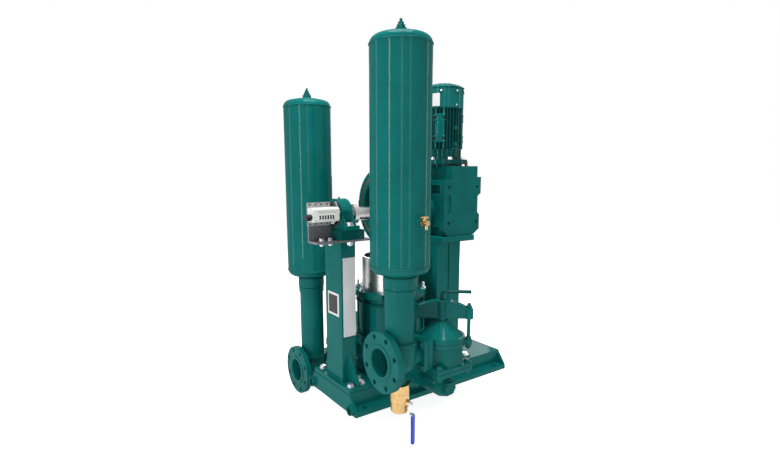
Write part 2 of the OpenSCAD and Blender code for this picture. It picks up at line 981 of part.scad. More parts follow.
// Plunger, open at the top, with two bosses that the wrist pin stops short of

module plunger() {
  inner_r = plunger_r - plunger_wall;
  color(steel) at_pump(0) {
    difference() {
      up(plunger_bottom) cylinder(r = plunger_r, h = plunger_length);
      up(plunger_bottom + plunger_floor) cylinder(r = inner_r, h = plunger_length);
      up(plunger_top - rim_lip) cylinder(r = inner_r + rim_lip, h = 2 * rim_lip);
    }
    for (s = [0, 1])
      mirror([s, 0, 0]) intersection() {
        difference() {
          translate([boss_inner, 0, wrist_z]) along_x() cylinder(r = boss_r, h = plunger_r);
          translate([boss_inner - cut, 0, wrist_z])
            along_x() cylinder(r = boss_bore_r, h = plunger_r - boss_inner - plunger_wall);
        }
        up(plunger_bottom + cut) cylinder(r = plunger_r - 1, h = plunger_length - cut);
      }
  }
}

// Connecting rod, drawn round the eccentric's centre and leaning to the wrist pin

module at_eccentric() {
  translate([pump_x, ecc_y, ecc_z]) rotate([-rod_lean, 0, 0]) children();
}

module strap_half(side) {
  difference() {
    union() {
      translate([-strap_width / 2, 0, 0]) along_x() cylinder(r = strap_r, h = strap_width, $fn = 128);
      for (s = [-1, 1])
        translate([-split_lug_w / 2, s < 0 ? -strap_r - split_lug_out : strap_r - split_lug_in, -split_lug_h])
          cube([split_lug_w, split_lug_out + split_lug_in, 2 * split_lug_h]);
    }
    translate([-strap_width, 0, 0])
      along_x() cylinder(r = bush_outer_r, h = 2 * strap_width, $fn = 128);
    translate([-strap_width, -2 * strap_r, side > 0 ? split_gap / 2 - 4 * strap_r : -split_gap / 2])
      cube([2 * strap_width, 4 * strap_r, 4 * strap_r]);
    at_strap_bolts() bolt_hole(split_bolt_d, 3 * split_lug_h);
  }
}

module at_strap_bolts() {
  for (s = [-1, 1])
    translate([0, s * (strap_r + split_bolt_d), split_lug_h]) children();
}

module connecting_rod() {
  color(enamel) at_eccentric() difference() {
    union() {
      strap_half(bottom_side);
      intersection() {
        rotate([90, 0, 90])
          up(-rod_depth / 2)
            linear_extrude(rod_depth)
              polygon([
                [-rod_neck, -bush_outer_r + rod_depth], [rod_neck, -bush_outer_r + rod_depth],
                [rod_width / 2, -strap_r - rod_neck / 2], [small_end_r - cut, -rod_length],
                [-small_end_r + cut, -rod_length], [-rod_width / 2, -strap_r - rod_neck / 2]
              ]);
        difference() {
          translate([-rod_depth, -strap_r, -rod_length - small_end_r])
            cube([2 * rod_depth, 2 * strap_r, rod_length + small_end_r]);
          translate([-strap_width, 0, 0])
            along_x() cylinder(r = bush_outer_r + cut, h = 2 * strap_width, $fn = 128);
        }
      }
      translate([-small_end_w / 2, 0, -rod_length])
        along_x() cylinder(r = small_end_r, h = small_end_w);
    }
    translate([-small_end_w, 0, -rod_length])
      along_x() cylinder(d = wrist_pin_d, h = 2 * small_end_w);
  }
}

module strap_cap() {
  color(enamel) at_eccentric() strap_half(top_side);
}

module strap_bolts() {
  color(steel) at_eccentric() at_strap_bolts() through_bolt(split_bolt_d, 2 * split_lug_h);
}

module eccentric_bush() {
  color(bronze) at_eccentric()
    translate([-strap_width / 2, 0, 0])
      along_x() difference() {
        cylinder(r = bush_outer_r - running_fit, h = strap_width, $fn = 128);
        up(-cut)
          cylinder(r = bush_outer_r - bush_wall, h = strap_width + 2 * cut, $fn = 128);
      }
}

module wrist_pin() {
  color(steel) translate([pump_x - pin_length / 2, 0, wrist_z])
    along_x() cylinder(d = wrist_pin_d, h = pin_length);
}

module eccentric() {
  color(enamel) difference() {
    union() {
      translate([pump_x - strap_width / 2, ecc_y, ecc_z]) along_x() difference() {
        cylinder(r = eccentric_r, h = strap_width, $fn = 128);
        up(-cut) cylinder(r = eccentric_r - rim_t, h = strap_width + 2 * cut, $fn = 128);
      }
      translate([pump_x - web_t / 2, ecc_y, ecc_z])
        along_x() cylinder(r = eccentric_r - cut, h = web_t, $fn = 128);
      on_shaft(pump_x - hub_width / 2) cylinder(r = hub_r, h = hub_width);
    }
    on_shaft(pump_x - hub_width) cylinder(d = shaft_d, h = 2 * hub_width);
    for (a = [45:90:315])
      translate([pump_x - hub_width, ecc_y, ecc_z])
        rotate([a, 0, 0]) translate([0, web_hole_at, 0]) along_x() cylinder(r = web_hole_r, h = 2 * hub_width);
  }
}

module crankshaft() {
  color(steel) {
    on_shaft(shaft_left) cylinder(d = shaft_d, h = shaft_right - shaft_left);
    on_shaft(collar_x) tube(collar_r, shaft_d / 2 - cut, collar_w);
  }
}

// Valve chambers. Each is drawn round the axis of its side port and then placed.

function chamber_side_face() = pump_x - line_x - tee_reach - gasket_t;

module chamber_at_discharge() {
  translate([pump_x, -line_y, discharge_z]) children();
}

module chamber_at_suction() {
  translate([pump_x, suction_y, suction_port_z]) rotate([0, 0, 90]) children();
}

module at_lugs(angle) {
  for (a = [0, 180])
    rotate([0, 0, angle + a]) translate([yoke_reach, 0, 0]) children();
}

module at_square_bolts(z) {
  up(z) at_corners(square_bolt_at, square_bolt_at) children();
}

// Four bolts of a square side flange whose outer face looks along -X
module at_side_bolts() {
  rotate([0, -90, 0]) at_corners(side_bolt_at, side_bolt_at) children();
}

module at_suction_side_bolts() {
  translate([pump_x, suction_y - chamber_side_face() + side_t, suction_port_z])
    rotate([0, 0, 90]) rotate([0, 90, 0]) at_corners(side_bolt_at, side_bolt_at) children();
}

module at_nozzle_bolts() {
  translate([pump_x, -nozzle_face - nozzle_flange_t, duct_z])
    rotate([90, 0, 0]) rotate([0, 0, 45])
      for (i = [0:nozzle_bolt_count - 1])
        rotate([0, 0, i * 360 / nozzle_bolt_count]) translate([nozzle_bolts_r, 0, 0]) children();
}

module valve_chamber(angle) {
  body_r = chamber_d / 2 / cos(180 / octagon_sides);
  rim_z = chamber_top_z - chamber_rim_t;
  color(enamel) difference() {
    union() {
      up(chamber_flange_z)
        rounded_plate(square_flange, square_flange, chamber_flange_t, square_corner);
      up(chamber_flange_z) rotate([0, 0, 180 / octagon_sides])
        cylinder(r = body_r, h = chamber_top_z - chamber_flange_z, $fn = octagon_sides);
      up(rim_z) cylinder(d = cap_d, h = chamber_rim_t);
      for (a = [0, 180])
        rotate([0, 0, angle + a]) translate([cap_d / 2 - lug_out, -lug_w / 2, lug_z])
          cube([yoke_reach - cap_d / 2 + lug_out, lug_w, lug_t]);
      at_lugs(angle) up(lug_z) cylinder(d = lug_w, h = lug_t);
      translate([-chamber_side_face(), 0, 0])
        along_x() cylinder(r = side_neck_r, h = chamber_side_face());
      translate([-chamber_side_face(), 0, 0])
        along_x() rounded_plate(side_flange, side_flange, side_t, side_corner);
    }
    up(chamber_flange_z - cut) cylinder(r = chamber_in_r, h = chamber_top_z + square_flange);
    up(chamber_top_z) cylinder(r = cap_d / 2 + face_gap, h = side_flange);
    translate([-chamber_side_face() - cut, 0, 0])
      along_x() cylinder(r = port_bore_r, h = chamber_side_face());
    at_lugs(angle) up(lug_z - cut) cylinder(r = eye_rod_r + face_gap, h = lug_t + 2 * cut);
    at_square_bolts(chamber_flange_z + chamber_flange_t) bolt_hole(square_bolt_d, chamber_flange_t + cut);
    translate([-chamber_side_face() - side_t, 0, 0])
      at_side_bolts() bolt_hole(side_bolt_d, 2 * side_t - side_bolt_short / 2);
  }
}

module valve_seat() {
  up(chamber_flange_z) difference() {
    cylinder(r = seat_r, h = seat_h);
    up(-cut) cylinder(r = seat_bore_r, h = seat_h + 2 * cut);
  }
}

module valve_ball() {
  up(ball_centre_z + face_gap) sphere(r = ball_r);
}

module valve_cap() {
  z0 = chamber_top_z + gasket_t;
  cone_r = cap_d / 2 - 8 * cap_wall / 12;
  color(enamel) difference() {
    union() {
      up(z0) cylinder(d = cap_d, h = cap_rim_t);
      up(z0 + cap_rim_t)
        cylinder(r1 = cone_r, r2 = cap_cone_r, h = cap_cone_top - z0 - cap_rim_t);
      cylinder(r = cap_cone_r - 2, h = cap_boss_top);
      for (i = [0:cap_rib_count - 1])
        rotate([0, 0, 45 + i * 360 / cap_rib_count])
          rotate([90, 0, 0]) up(-cap_rib_t / 2)
            linear_extrude(cap_rib_t)
              polygon([
                [0, z0 + cap_rim_t], [cone_r, z0 + cap_rim_t],
                [cap_cone_r + cap_rib_t, cap_cone_top], [0, cap_cone_top]
              ]);
    }
    up(-chamber_top_z) cylinder(r = chamber_in_r, h = 2 * chamber_top_z + gasket_t + cap_wall);
    up(z0 + cap_wall - cut)
      cylinder(r1 = chamber_in_r, r2 = cap_cone_r, h = cap_cone_top - z0 - 2 * cap_wall);
  }
}

// Arched yoke of tee section with a threaded middle boss and an eye at each end
module valve_yoke(angle) {
  rise = yoke_mid_top - yoke_end_top;
  arc_r = (yoke_reach * yoke_reach + rise * rise) / (2 * rise);
  color(enamel) rotate([0, 0, angle]) difference() {
    union() {
      rotate([90, 0, 0]) up(-yoke_web_t / 2) linear_extrude(yoke_web_t)
        intersection() {
          translate([0, yoke_mid_top - arc_r]) circle(r = arc_r, $fn = 180);
          translate([-yoke_reach, yoke_bottom])
            square([2 * yoke_reach, yoke_mid_top - yoke_bottom]);
        }
      rotate([90, 0, 0]) up(-yoke_flange_w / 2) linear_extrude(yoke_flange_w)
        intersection() {
          difference() {
            translate([0, yoke_mid_top - arc_r]) circle(r = arc_r, $fn = 180);
            translate([0, yoke_mid_top - arc_r]) circle(r = arc_r - yoke_flange_t, $fn = 180);
          }
          translate([-yoke_reach, yoke_bottom])
            square([2 * yoke_reach, yoke_mid_top - yoke_bottom]);
        }
      up(cap_boss_top + face_gap) cylinder(r = yoke_boss_r, h = yoke_mid_top - cap_boss_top - yoke_flange_t);
      at_lugs(0) up(yoke_bottom) cylinder(r = yoke_end_r, h = yoke_end_top - yoke_bottom);
    }
    up(cap_boss_top - cut) cylinder(r = screw_r + running_fit, h = yoke_mid_top);
    at_lugs(0) {
      up(yoke_bottom - cut) cylinder(r = eye_rod_r + face_gap, h = yoke_end_top);
      up(yoke_end_top) cylinder(r = yoke_end_r - 2, h = yoke_mid_top);
    }
  }
}

// L-handled screw that presses on the cap's boss
module valve_screw(angle) {
  color(enamel_dark) rotate([0, 0, angle]) {
    up(cap_boss_top + face_gap)
      cylinder(r = screw_r, h = yoke_mid_top + screw_r - cap_boss_top);
    up(yoke_mid_top) cylinder(r = handle_r, h = handle_z - handle_bend - yoke_mid_top);
    translate([handle_bend, 0, handle_z - handle_bend]) rotate([90, 0, 0])
      rotate([0, 0, 90]) rotate_extrude(angle = 90) translate([handle_bend, 0]) circle(r = handle_r, $fn = 32);
    translate([handle_bend, 0, handle_z]) along_x() cylinder(r = handle_r, h = handle_reach - handle_bend);
  }
}

module chamber_eye_bolts(angle) {
  nut_h = nut_height_share * 2 * eye_rod_r;
  at_lugs(angle) {
    up(lug_z - nut_h - eye_rod_r) cylinder(r = eye_rod_r, h = eye_top - lug_z + nut_h + eye_rod_r);
    up(lug_z - nut_h)
      cylinder(r = head_width_share * eye_rod_r, h = nut_h, $fn = hex_sides);
    up(lug_z + lug_t) cylinder(r = head_width_share * eye_rod_r, h = nut_h, $fn = hex_sides);
    up(yoke_end_top) cylinder(r = head_width_share * eye_rod_r, h = nut_h, $fn = hex_sides);
  }
}

module discharge_chamber() { chamber_at_discharge() valve_chamber(yoke_angle); }
module suction_chamber() { chamber_at_suction() valve_chamber(yoke_angle); }
module discharge_ball() { color(steel) chamber_at_discharge() valve_ball(); }
module suction_ball() { color(steel) chamber_at_suction() valve_ball(); }
module discharge_cap() { chamber_at_discharge() valve_cap(); }
module suction_cap() { chamber_at_suction() valve_cap(); }
module discharge_yoke() { chamber_at_discharge() valve_yoke(yoke_angle); }
module suction_yoke() { chamber_at_suction() valve_yoke(yoke_angle); }
module discharge_screw() { chamber_at_discharge() valve_screw(yoke_angle); }
module suction_screw() { chamber_at_suction() valve_screw(yoke_angle); }

module eye_bolts() {
  color(enamel) {
    chamber_at_discharge() chamber_eye_bolts(yoke_angle);
    chamber_at_suction() chamber_eye_bolts(yoke_angle);
  }
}

module valve_seats() {
  color(bronze) {
    chamber_at_discharge() valve_seat();
    chamber_at_suction() valve_seat();
  }
}

// Gaskets

module side_gasket() {
  translate([-chamber_side_face() - gasket_t, 0, 0]) along_x() tube(side_neck_r, side_bore_r, gasket_t);
}

module square_gasket() {
  up(chamber_flange_z - gasket_t) tube(square_bolt_at - square_bolt_d / 2, inlet_r, gasket_t);
}

module cap_gasket() {
  up(chamber_top_z) tube(cap_d / 2 - gasket_t, chamber_in_r, gasket_t);
}

module chamber_gaskets() {
  side_gasket();
  square_gasket();
  cap_gasket();
}

module gaskets() {
  color(gasket_grey) {
    chamber_at_discharge() chamber_gaskets();
    chamber_at_suction() chamber_gaskets();
  }
}

// Ducts under the chambers

module duct_neck(z_low) {
  difference() {
    union() {
      up(z_low)
        cylinder(r = duct_neck_r, h = chamber_flange_z - gasket_t - z_low);
      up(chamber_flange_z - gasket_t - chamber_flange_t)
        rounded_plate(square_flange, square_flange, chamber_flange_t, square_corner);
    }
    up(z_low) cylinder(r = inlet_r, h = chamber_flange_z - z_low + cut);
    at_square_bolts(chamber_flange_z) bolt_hole(square_bolt_d, 2 * chamber_flange_t);
  }
}

module discharge_duct() {
  y0 = -nozzle_face;
  duct_l = duct_end_y - nozzle_face - duct_taper;
  color(enamel) difference() {
    union() {
      chamber_at_discharge() duct_neck(duct_z - discharge_z);
      translate([pump_x, y0, duct_z]) rotate([90, 0, 0]) cylinder(r = duct_r, h = duct_l);
      translate([pump_x, y0 - duct_l, duct_z])
        rotate([90, 0, 0]) cylinder(r1 = duct_r, r2 = duct_taper_r, h = duct_taper);
      translate([pump_x, y0, duct_z]) rotate([90, 0, 0]) cylinder(r = nozzle_flange_r, h = nozzle_flange_t);
    }
    translate([pump_x, y0 + cut, duct_z])
      rotate([90, 0, 0]) cylinder(r = duct_bore_r, h = duct_l + cut);
    translate([pump_x, -line_y, duct_z]) cylinder(r = inlet_r, h = discharge_z - duct_z);
    translate([pump_x, -duct_end_y - cut, duct_z])
      along_y() cylinder(r = plug_af_r - plug_collar / 2, h = plug_length + 2 * cut);
    at_nozzle_bolts() bolt_hole(nozzle_bolt_d, 2 * nozzle_flange_t + cut);
  }
}

module suction_duct() {
  x0 = line_x + tee_reach + gasket_t;
  color(enamel) difference() {
    union() {
      translate([pump_x, suction_y, suction_port_z]) duct_neck(suction_z - suction_port_z);
      translate([x0, suction_y, suction_z]) along_x() cylinder(r = side_neck_r, h = pump_x + duct_end_x - x0);
      translate([x0, suction_y, suction_z])
        along_x() rounded_plate(side_flange, side_flange, side_t, side_corner);
    }
    translate([x0 - cut, suction_y, suction_z])
      along_x() cylinder(r = side_bore_r, h = pump_x + duct_end_x - plug_length - x0 + cut);
    translate([pump_x, suction_y, suction_z]) cylinder(r = inlet_r, h = suction_port_z - suction_z);
    translate([pump_x + duct_end_x - plug_length - cut, suction_y, suction_z])
      along_x() cylinder(r = plug_af_r - plug_collar / 2, h = plug_length + 2 * cut);
    translate([x0 + side_t, suction_y, suction_z])
      rotate([0, 90, 0]) at_corners(side_bolt_at, side_bolt_at) bolt_hole(side_bolt_d, side_t + cut);
  }
}

// Tees, drawn round the tee's centre

module tee_body(low) {
  color(enamel) difference() {
    union() {
      cylinder(r = tee_r, h = tee_top);
      sphere(r = tee_r);
      up(tee_top - band_h) cylinder(r = band_r, h = band_h);
      up(low) cylinder(r = drain_neck_r, h = -low);
      translate([-tee_reach, 0, 0]) along_x() cylinder(r = neck_r, h = tee_reach);
      along_x() cylinder(r = side_neck_r, h = tee_reach);
      translate([tee_reach - side_t, 0, 0])
        along_x() rounded_plate(side_flange, side_flange, side_t, side_corner);
      translate([-tee_reach + raised_t, 0, 0]) along_x() cylinder(r = flange_r, h = flange_t, $fn = 96);
      translate([-tee_reach, 0, 0]) along_x() cylinder(r = raised_r, h = flange_t);
    }
    cylinder(r = inner_r, h = tee_top + cut);
    sphere(r = inner_r);
    translate([-tee_reach - cut, 0, 0]) along_x() cylinder(r = inner_r, h = tee_reach + cut);
    translate([-tee_reach - cut, 0, 0]) along_x() cylinder(r = bore_r, h = flange_bore_l + cut);
    along_x() cylinder(r = side_bore_r, h = tee_reach + cut);
    up(low - cut) cylinder(r = drain_bore_r, h = -low);
    for (i = [0:flange_holes - 1])
      rotate([(i + 0.5) * 360 / flange_holes, 0, 0])
        translate([-tee_reach - cut, 0, flange_pcd / 2])
          along_x() cylinder(d = flange_hole_d, h = flange_t + raised_t + 2 * cut);
    translate([tee_reach, 0, 0])
      rotate([0, 90, 0]) at_corners(side_bolt_at, side_bolt_at) bolt_hole(side_bolt_d, side_t + cut);
  }
}

module discharge_tee() {
  translate([line_x, -line_y, discharge_z]) tee_body(drain_top - discharge_z);
}

module suction_tee() {
  translate([line_x, suction_y, suction_z]) tee_body(suction_low);
}

// Riser with its collar, coupling and groove

module riser(z0, z1) {
  color(enamel) difference() {
    union() {
      up(z0) cylinder(r = riser_r, h = z1 - z0);
      up(z1 - coupling_h) cylinder(r = coupling_r, h = coupling_h);
      up(z1 - coupling_h - coupling_groove - collar_band_h) cylinder(r = coupling_r - 2, h = collar_band_h);
      up(z0) cylinder(r = tee_r, h = weld_h);
    }
    up(z0 - cut) cylinder(r = riser_r - riser_wall, h = z1 - z0 + 2 * cut);
  }
}

module discharge_riser() {
  translate([line_x, -line_y, 0]) riser(discharge_z + tee_top, coupling_top);
}

module suction_riser() {
  translate([line_x, suction_y, 0]) riser(suction_z + tee_top, coupling_top - air_drop);
}

// Air chamber: a pipe with torispherical heads

module head_outline(r, depth) {
  flat_r = r - knuckle_r;
  crown_rise = depth - knuckle_r;
  crown_r = (flat_r * flat_r + crown_rise * crown_rise) / (2 * crown_rise);
  square([flat_r, knuckle_r]);
  intersection() {
    translate([flat_r, 0]) circle(r = knuckle_r, $fn = 96);
    square([r, knuckle_r]);
  }
  intersection() {
    translate([0, depth - crown_r]) circle(r = crown_r, $fn = 180);
    translate([0, knuckle_r - cut]) square([flat_r, depth]);
  }
}

module air_chamber_shell() {
  color(enamel) difference() {
    union() {
      cylinder(r = air_r, h = air_length, $fn = 96);
      up(air_length) rotate_extrude($fn = 96) head_outline(air_r, dome_height);
      mirror([0, 0, 1]) rotate_extrude($fn = 96) head_outline(air_r, dome_height);
      up(-dome_height) cylinder(r = riser_r, h = dome_height / 2);
      for (z = [0, air_length])
        up(z - weld_h / 2) cylinder(r = air_r + weld_out / 2, h = weld_h, $fn = 96);
    }
    cylinder(r = air_r - air_wall, h = air_length, $fn = 96);
    up(-dome_height - cut) cylinder(r = riser_r - riser_wall, h = dome_height + 2 * cut);
    up(air_length - cut) cylinder(r = vent_bore_r, h = dome_height + 2 * cut);
  }
}

vent_r = 20;
vent_h = 16;
vent_bore_r = 11;
vent_plug_r = 16;
vent_plug_h = 10;
vent_nut_r = 11;
vent_tip_r = 5;
vent_tip_h = 31;

module air_chamber(z) {
  up(z) air_chamber_shell();
  color(enamel)
    up(z + air_length + dome_height - 4) tube(vent_r, vent_bore_r, vent_h);
}

module discharge_air_chamber() {
  translate([line_x, -line_y, 0]) {
    air_chamber(air_bottom);
    color(enamel)
      translate([0, 2 - air_r, petcock_z])
        rotate([90, 0, 0]) tube(petcock_boss_r, petcock_body_r - 2, petcock_boss_l);
  }
}

module suction_air_chamber() {
  translate([line_x, suction_y, 0]) air_chamber(air_bottom - air_drop);
}

// Plugs: one in each air chamber's top, one in each duct's end and one under the suction tee

module vent_plug() {
  cylinder(r = vent_bore_r - running_fit, h = vent_h);
  up(vent_h) cylinder(r = vent_plug_r, h = vent_plug_h, $fn = hex_sides);
  up(vent_h) cylinder(r = vent_nut_r, h = 2 * vent_plug_h, $fn = hex_sides);
  up(vent_h) cylinder(r = vent_tip_r, h = vent_tip_h);
}

module duct_plug() {
  cylinder(r = plug_af_r - plug_collar / 2 - running_fit, h = plug_length);
  up(plug_length) cylinder(r = plug_af_r + 4, h = plug_collar / 2);
  up(plug_length) cylinder(r = plug_af_r, h = plug_length, $fn = hex_sides);
}

module pipe_plugs() {
  color(enamel) {
    for (side = [[-line_y, 0], [suction_y, air_drop]])
      translate([line_x, side[0], air_top - side[1] + dome_height - 4]) vent_plug();
    translate([pump_x, -duct_end_y + plug_length, duct_z]) rotate([90, 0, 0]) duct_plug();
    translate([pump_x + duct_end_x - plug_length, suction_y, suction_z]) along_x() duct_plug();
    translate([line_x, suction_y, suction_z + suction_low + drain_bore_r]) mirror([0, 0, 1]) {
      cylinder(r = drain_bore_r - running_fit, h = drain_bore_r);
      up(drain_bore_r) cylinder(r = drain_neck_r, h = plug_collar, $fn = hex_sides);
    }
  }
}

// Bolts of every square and round pipe flange

module chamber_bolts(grip) {
  translate([-chamber_side_face() - gasket_t - side_t, 0, 0])
    at_side_bolts() blind_bolt(side_bolt_d, grip - side_bolt_short);
  at_square_bolts(chamber_flange_z + chamber_flange_t)
    through_bolt(square_bolt_d, 2 * chamber_flange_t + gasket_t);
}

module flange_bolts() {
  grip = 2 * side_t + gasket_t;
  color(enamel) {
    chamber_at_discharge() chamber_bolts(grip);
    chamber_at_suction() chamber_bolts(grip);
    translate([line_x + tee_reach - side_t, suction_y, suction_z])
      at_side_bolts() through_bolt(side_bolt_d, grip);
    at_nozzle_bolts() through_bolt(nozzle_bolt_d, 2 * nozzle_flange_t);
  }
}

// Petcock on the discharge air chamber

module at_petcock() {
  translate([line_x, -line_y - air_r + 2 - petcock_boss_l, petcock_z]) rotate([90, 0, 0]) children();
}

module petcock_body() {
  color(brass) at_petcock() difference() {
    union() {
      cylinder(r = petcock_body_r + 2, h = petcock_body_r, $fn = hex_sides);
      cylinder(r = petcock_body_r, h = petcock_body_l);
      up(-petcock_boss_l / 2)
        cylinder(r = petcock_body_r - 2, h = petcock_boss_l / 2 + cut);
      up(petcock_stem_at)
        rotate([-90, 0, 0]) cylinder(r = petcock_gland_r, h = petcock_gland_l);
      up(petcock_body_l - petcock_body_r)
        rotate([90, 0, 0]) cylinder(r = petcock_spout_r, h = petcock_spout_l);
    }
    translate([0, -petcock_body_r + cut, petcock_stem_at])
      rotate([-90, 0, 0]) cylinder(r = petcock_stem_r + running_fit, h = 3 * petcock_body_r);
    up(petcock_body_l - petcock_body_r)
      rotate([90, 0, 0]) cylinder(r = petcock_bore_r, h = petcock_spout_l + cut);
    up(-petcock_boss_l)
      cylinder(r = petcock_bore_r, h = petcock_boss_l + petcock_body_l - petcock_body_r);
  }
}

module petcock_handle() {
  color(brass) at_petcock() up(petcock_stem_at) {
    translate([0, -petcock_body_r + 2 * cut, 0])
      rotate([-90, 0, 0]) cylinder(r = petcock_stem_r, h = petcock_body_r + petcock_tee_z);
    translate([-petcock_tee_l / 2, petcock_tee_z, 0]) along_x() cylinder(r = petcock_tee_r, h = petcock_tee_l);
  }
}

// Drain valve under the discharge tee

module at_drain() {
  translate([line_x, -line_y, drain_mid_z]) rotate([0, 0, drain_turn]) children();
}

module drain_valve_body() {
  top = drain_top - drain_mid_z;
  low = drain_end_z - drain_mid_z;
  color(brass) at_drain() difference() {
    union() {
      up(top - drain_hex_h) cylinder(r = drain_hex_r, h = drain_hex_h, $fn = octagon_sides);
      up(drain_mid_low) cylinder(r = drain_mid_r, h = top - drain_mid_low - cut);
      up(low + drain_round) cylinder(r = drain_end_r, h = -low);
      up(low) rotate_extrude() {
        square([drain_end_r - drain_round, 2 * drain_round]);
        translate([drain_end_r - drain_round, drain_round]) circle(r = drain_round, $fn = 32);
      }
      along_x() cylinder(r = drain_boss_r, h = drain_boss_out);
    }
    up(low - cut) cylinder(r = drain_bore_r, h = top - low + 2 * cut);
    up(low - cut) cylinder(r = drain_socket_r, h = drain_socket_l + cut);
    sphere(r = drain_ball_r + face_gap);
    along_x() cylinder(r = drain_stem_r + running_fit, h = drain_boss_out + cut);
  }
}

module drain_ball() {
  color(steel) at_drain() {
    difference() {
      sphere(r = drain_ball_r);
      up(-drain_ball_r) cylinder(r = drain_bore_r - 2, h = 2 * drain_ball_r);
    }
    translate([drain_bore_r, 0, 0])
      along_x() cylinder(r = drain_stem_r, h = drain_boss_out - drain_bore_r + drain_lever_t + drain_nut_h + 2);
  }
}

module drain_lever() {
  x0 = drain_boss_out + cut;
  color(zinc) at_drain() {
    difference() {
      union() {
        translate([x0, 0, 0]) along_x() cylinder(d = drain_lever_w, h = drain_lever_t);
        translate([x0, -drain_grip_w / 2, -drain_grip_top]) cube([drain_lever_t, drain_grip_w, drain_grip_top]);
        translate([x0, -drain_grip_w / 2, -drain_grip_top])
          cube([drain_crank + drain_lever_t, drain_grip_w, drain_lever_t]);
      }
      up(0) along_x() cylinder(r = drain_stem_r, h = 2 * x0);
    }
    translate([x0 + drain_lever_t, 0, 0]) along_x() difference() {
      cylinder(r = drain_nut_r, h = drain_nut_h, $fn = hex_sides);
      up(-cut) cylinder(r = drain_stem_r, h = drain_nut_h + 2 * cut);
    }
    translate([x0 + drain_crank, -drain_grip_w / 2 + 3, -drain_grip_top - drain_grip_l + drain_grip_w])
      cube([drain_lever_t, drain_grip_w - 6, drain_grip_l - drain_grip_w + drain_lever_t]);
  }
}

module drain_grip() {
  mid = drain_boss_out + cut + drain_crank + drain_lever_t / 2;
  color(grip_blue) at_drain() translate([mid - drain_grip_t / 2, 0, -drain_grip_top]) difference() {
    along_x() {
      translate([drain_grip_l - drain_grip_w / 2, 0, 0]) cylinder(d = drain_grip_w, h = drain_grip_t);
      translate([0, -drain_grip_w / 2, 0]) cube([drain_grip_l - drain_grip_w / 2, drain_grip_w, drain_grip_t]);
    }
    translate([(drain_grip_t - drain_lever_t) / 2, -drain_grip_w / 2 + 3, -drain_grip_l + drain_grip_w])
      cube([drain_lever_t, drain_grip_w - 6, drain_grip_l]);
  }
}

// Drive pedestal: two box columns a slit apart between a foot and a top plate

module drive_pedestal() {
  half = (pedestal_x1 - pedestal_x0 - pedestal_slit) / 2;
  h = top_plate_z - column_foot_z;
  color(enamel) difference() {
    union() {
      foot_plate(pedestal_foot_x0, pedestal_foot_x1);
      translate([top_plate_x0, -top_plate_y, top_plate_z])
        cube([top_plate_x1 - top_plate_x0, 2 * top_plate_y, top_plate_t]);
      for (x = [pedestal_x0, pedestal_x1 - half])
        translate([x, -pedestal_y, column_foot_z]) cube([half, 2 * pedestal_y, h]);
    }
    for (x = [pedestal_x0, pedestal_x1 - half])
      translate([x + pedestal_wall, -pedestal_y + pedestal_wall, column_foot_z])
        cube([half - 2 * pedestal_wall, 2 * (pedestal_y - pedestal_wall), h]);
    at_pedestal_bolts() bolt_hole(foot_bolt_d, foot_t + cut);
  }
}

// Gear reducer: outline of the housing in the XZ plane, a lower box and an upper block

cover_lug = 12;
bolt_in = 31;
bolt_in_right = 23;
waist_x1 = 286;
lug_low_top = 770;
lug_high_low = 870;
chamfer_x = 44;
chamfer_z = 26;

module reducer_outline() {
  polygon([
    [reducer_x0, reducer_z0 + chamfer_z], [reducer_x0 + chamfer_z, reducer_z0],
    [reducer_x1 - chamfer_x, reducer_z0], [reducer_x1 - cover_lug / 2, reducer_z0 + chamfer_z],
    [reducer_x1 - cover_lug / 2, lug_low_top], [waist_x1, lug_low_top + cover_lug],
    [waist_x1, lug_high_low - cover_lug], [reducer_x1, lug_high_low],
    [reducer_x1, reducer_shoulder], [reducer_block_x1, reducer_shoulder],
    [reducer_block_x1, reducer_top], [reducer_block_x0, reducer_top],
    [reducer_block_x0, reducer_shoulder - cover_lug], [reducer_x0, reducer_shoulder - cover_lug]
  ]);
}

module reducer_prism(y0, y1) {
  translate([0, y1, 0]) rotate([90, 0, 0]) linear_extrude(y1 - y0) reducer_outline();
}

function cover_bolts() = [
  [reducer_x0 + bolt_in, lug_high_low + bolt_in], [reducer_x1 - bolt_in_right, lug_high_low + bolt_in],
  [reducer_x0 + bolt_in, lug_low_top - bolt_in], [reducer_x1 - bolt_in_right, lug_low_top - bolt_in]
];

module reducer_housing() {
  color(enamel) difference() {
    union() {
      reducer_prism(-reducer_y + cover_t + cover_gap, reducer_y);
      on_shaft(reducer_x0 - reducer_hub_out) cylinder(r = reducer_hub_r, h = reducer_hub_out + cut);
    }
    for (s = [-1, 1])
      translate([
        reducer_x0 - cut,
        -reducer_y + cover_t + reducer_rib_t,
        shaft_z + s * (reducer_hub_r + reducer_rib_t) - (s < 0 ? reducer_hub_r * 0.6 : 0)
      ])
        cube([reducer_pocket_in + cut, 2 * reducer_y - cover_t - 2 * reducer_rib_t, reducer_hub_r * 0.6]);
    on_shaft(reducer_x0 - reducer_hub_out - cut) cylinder(d = shaft_d + 2 * running_fit, h = reducer_x1 - reducer_x0 + reducer_hub_out + 2 * cut);
    for (p = cover_bolts())
      translate([p[0], -reducer_y, p[1]])
        along_y() cylinder(d = reducer_bolt_d, h = cover_t + 2 * reducer_bolt_d);
  }
}

recess_x0 = 89;
recess_x1 = 118;
recess_z0 = 782;
recess_z1 = 866;
recess_depth = 5;

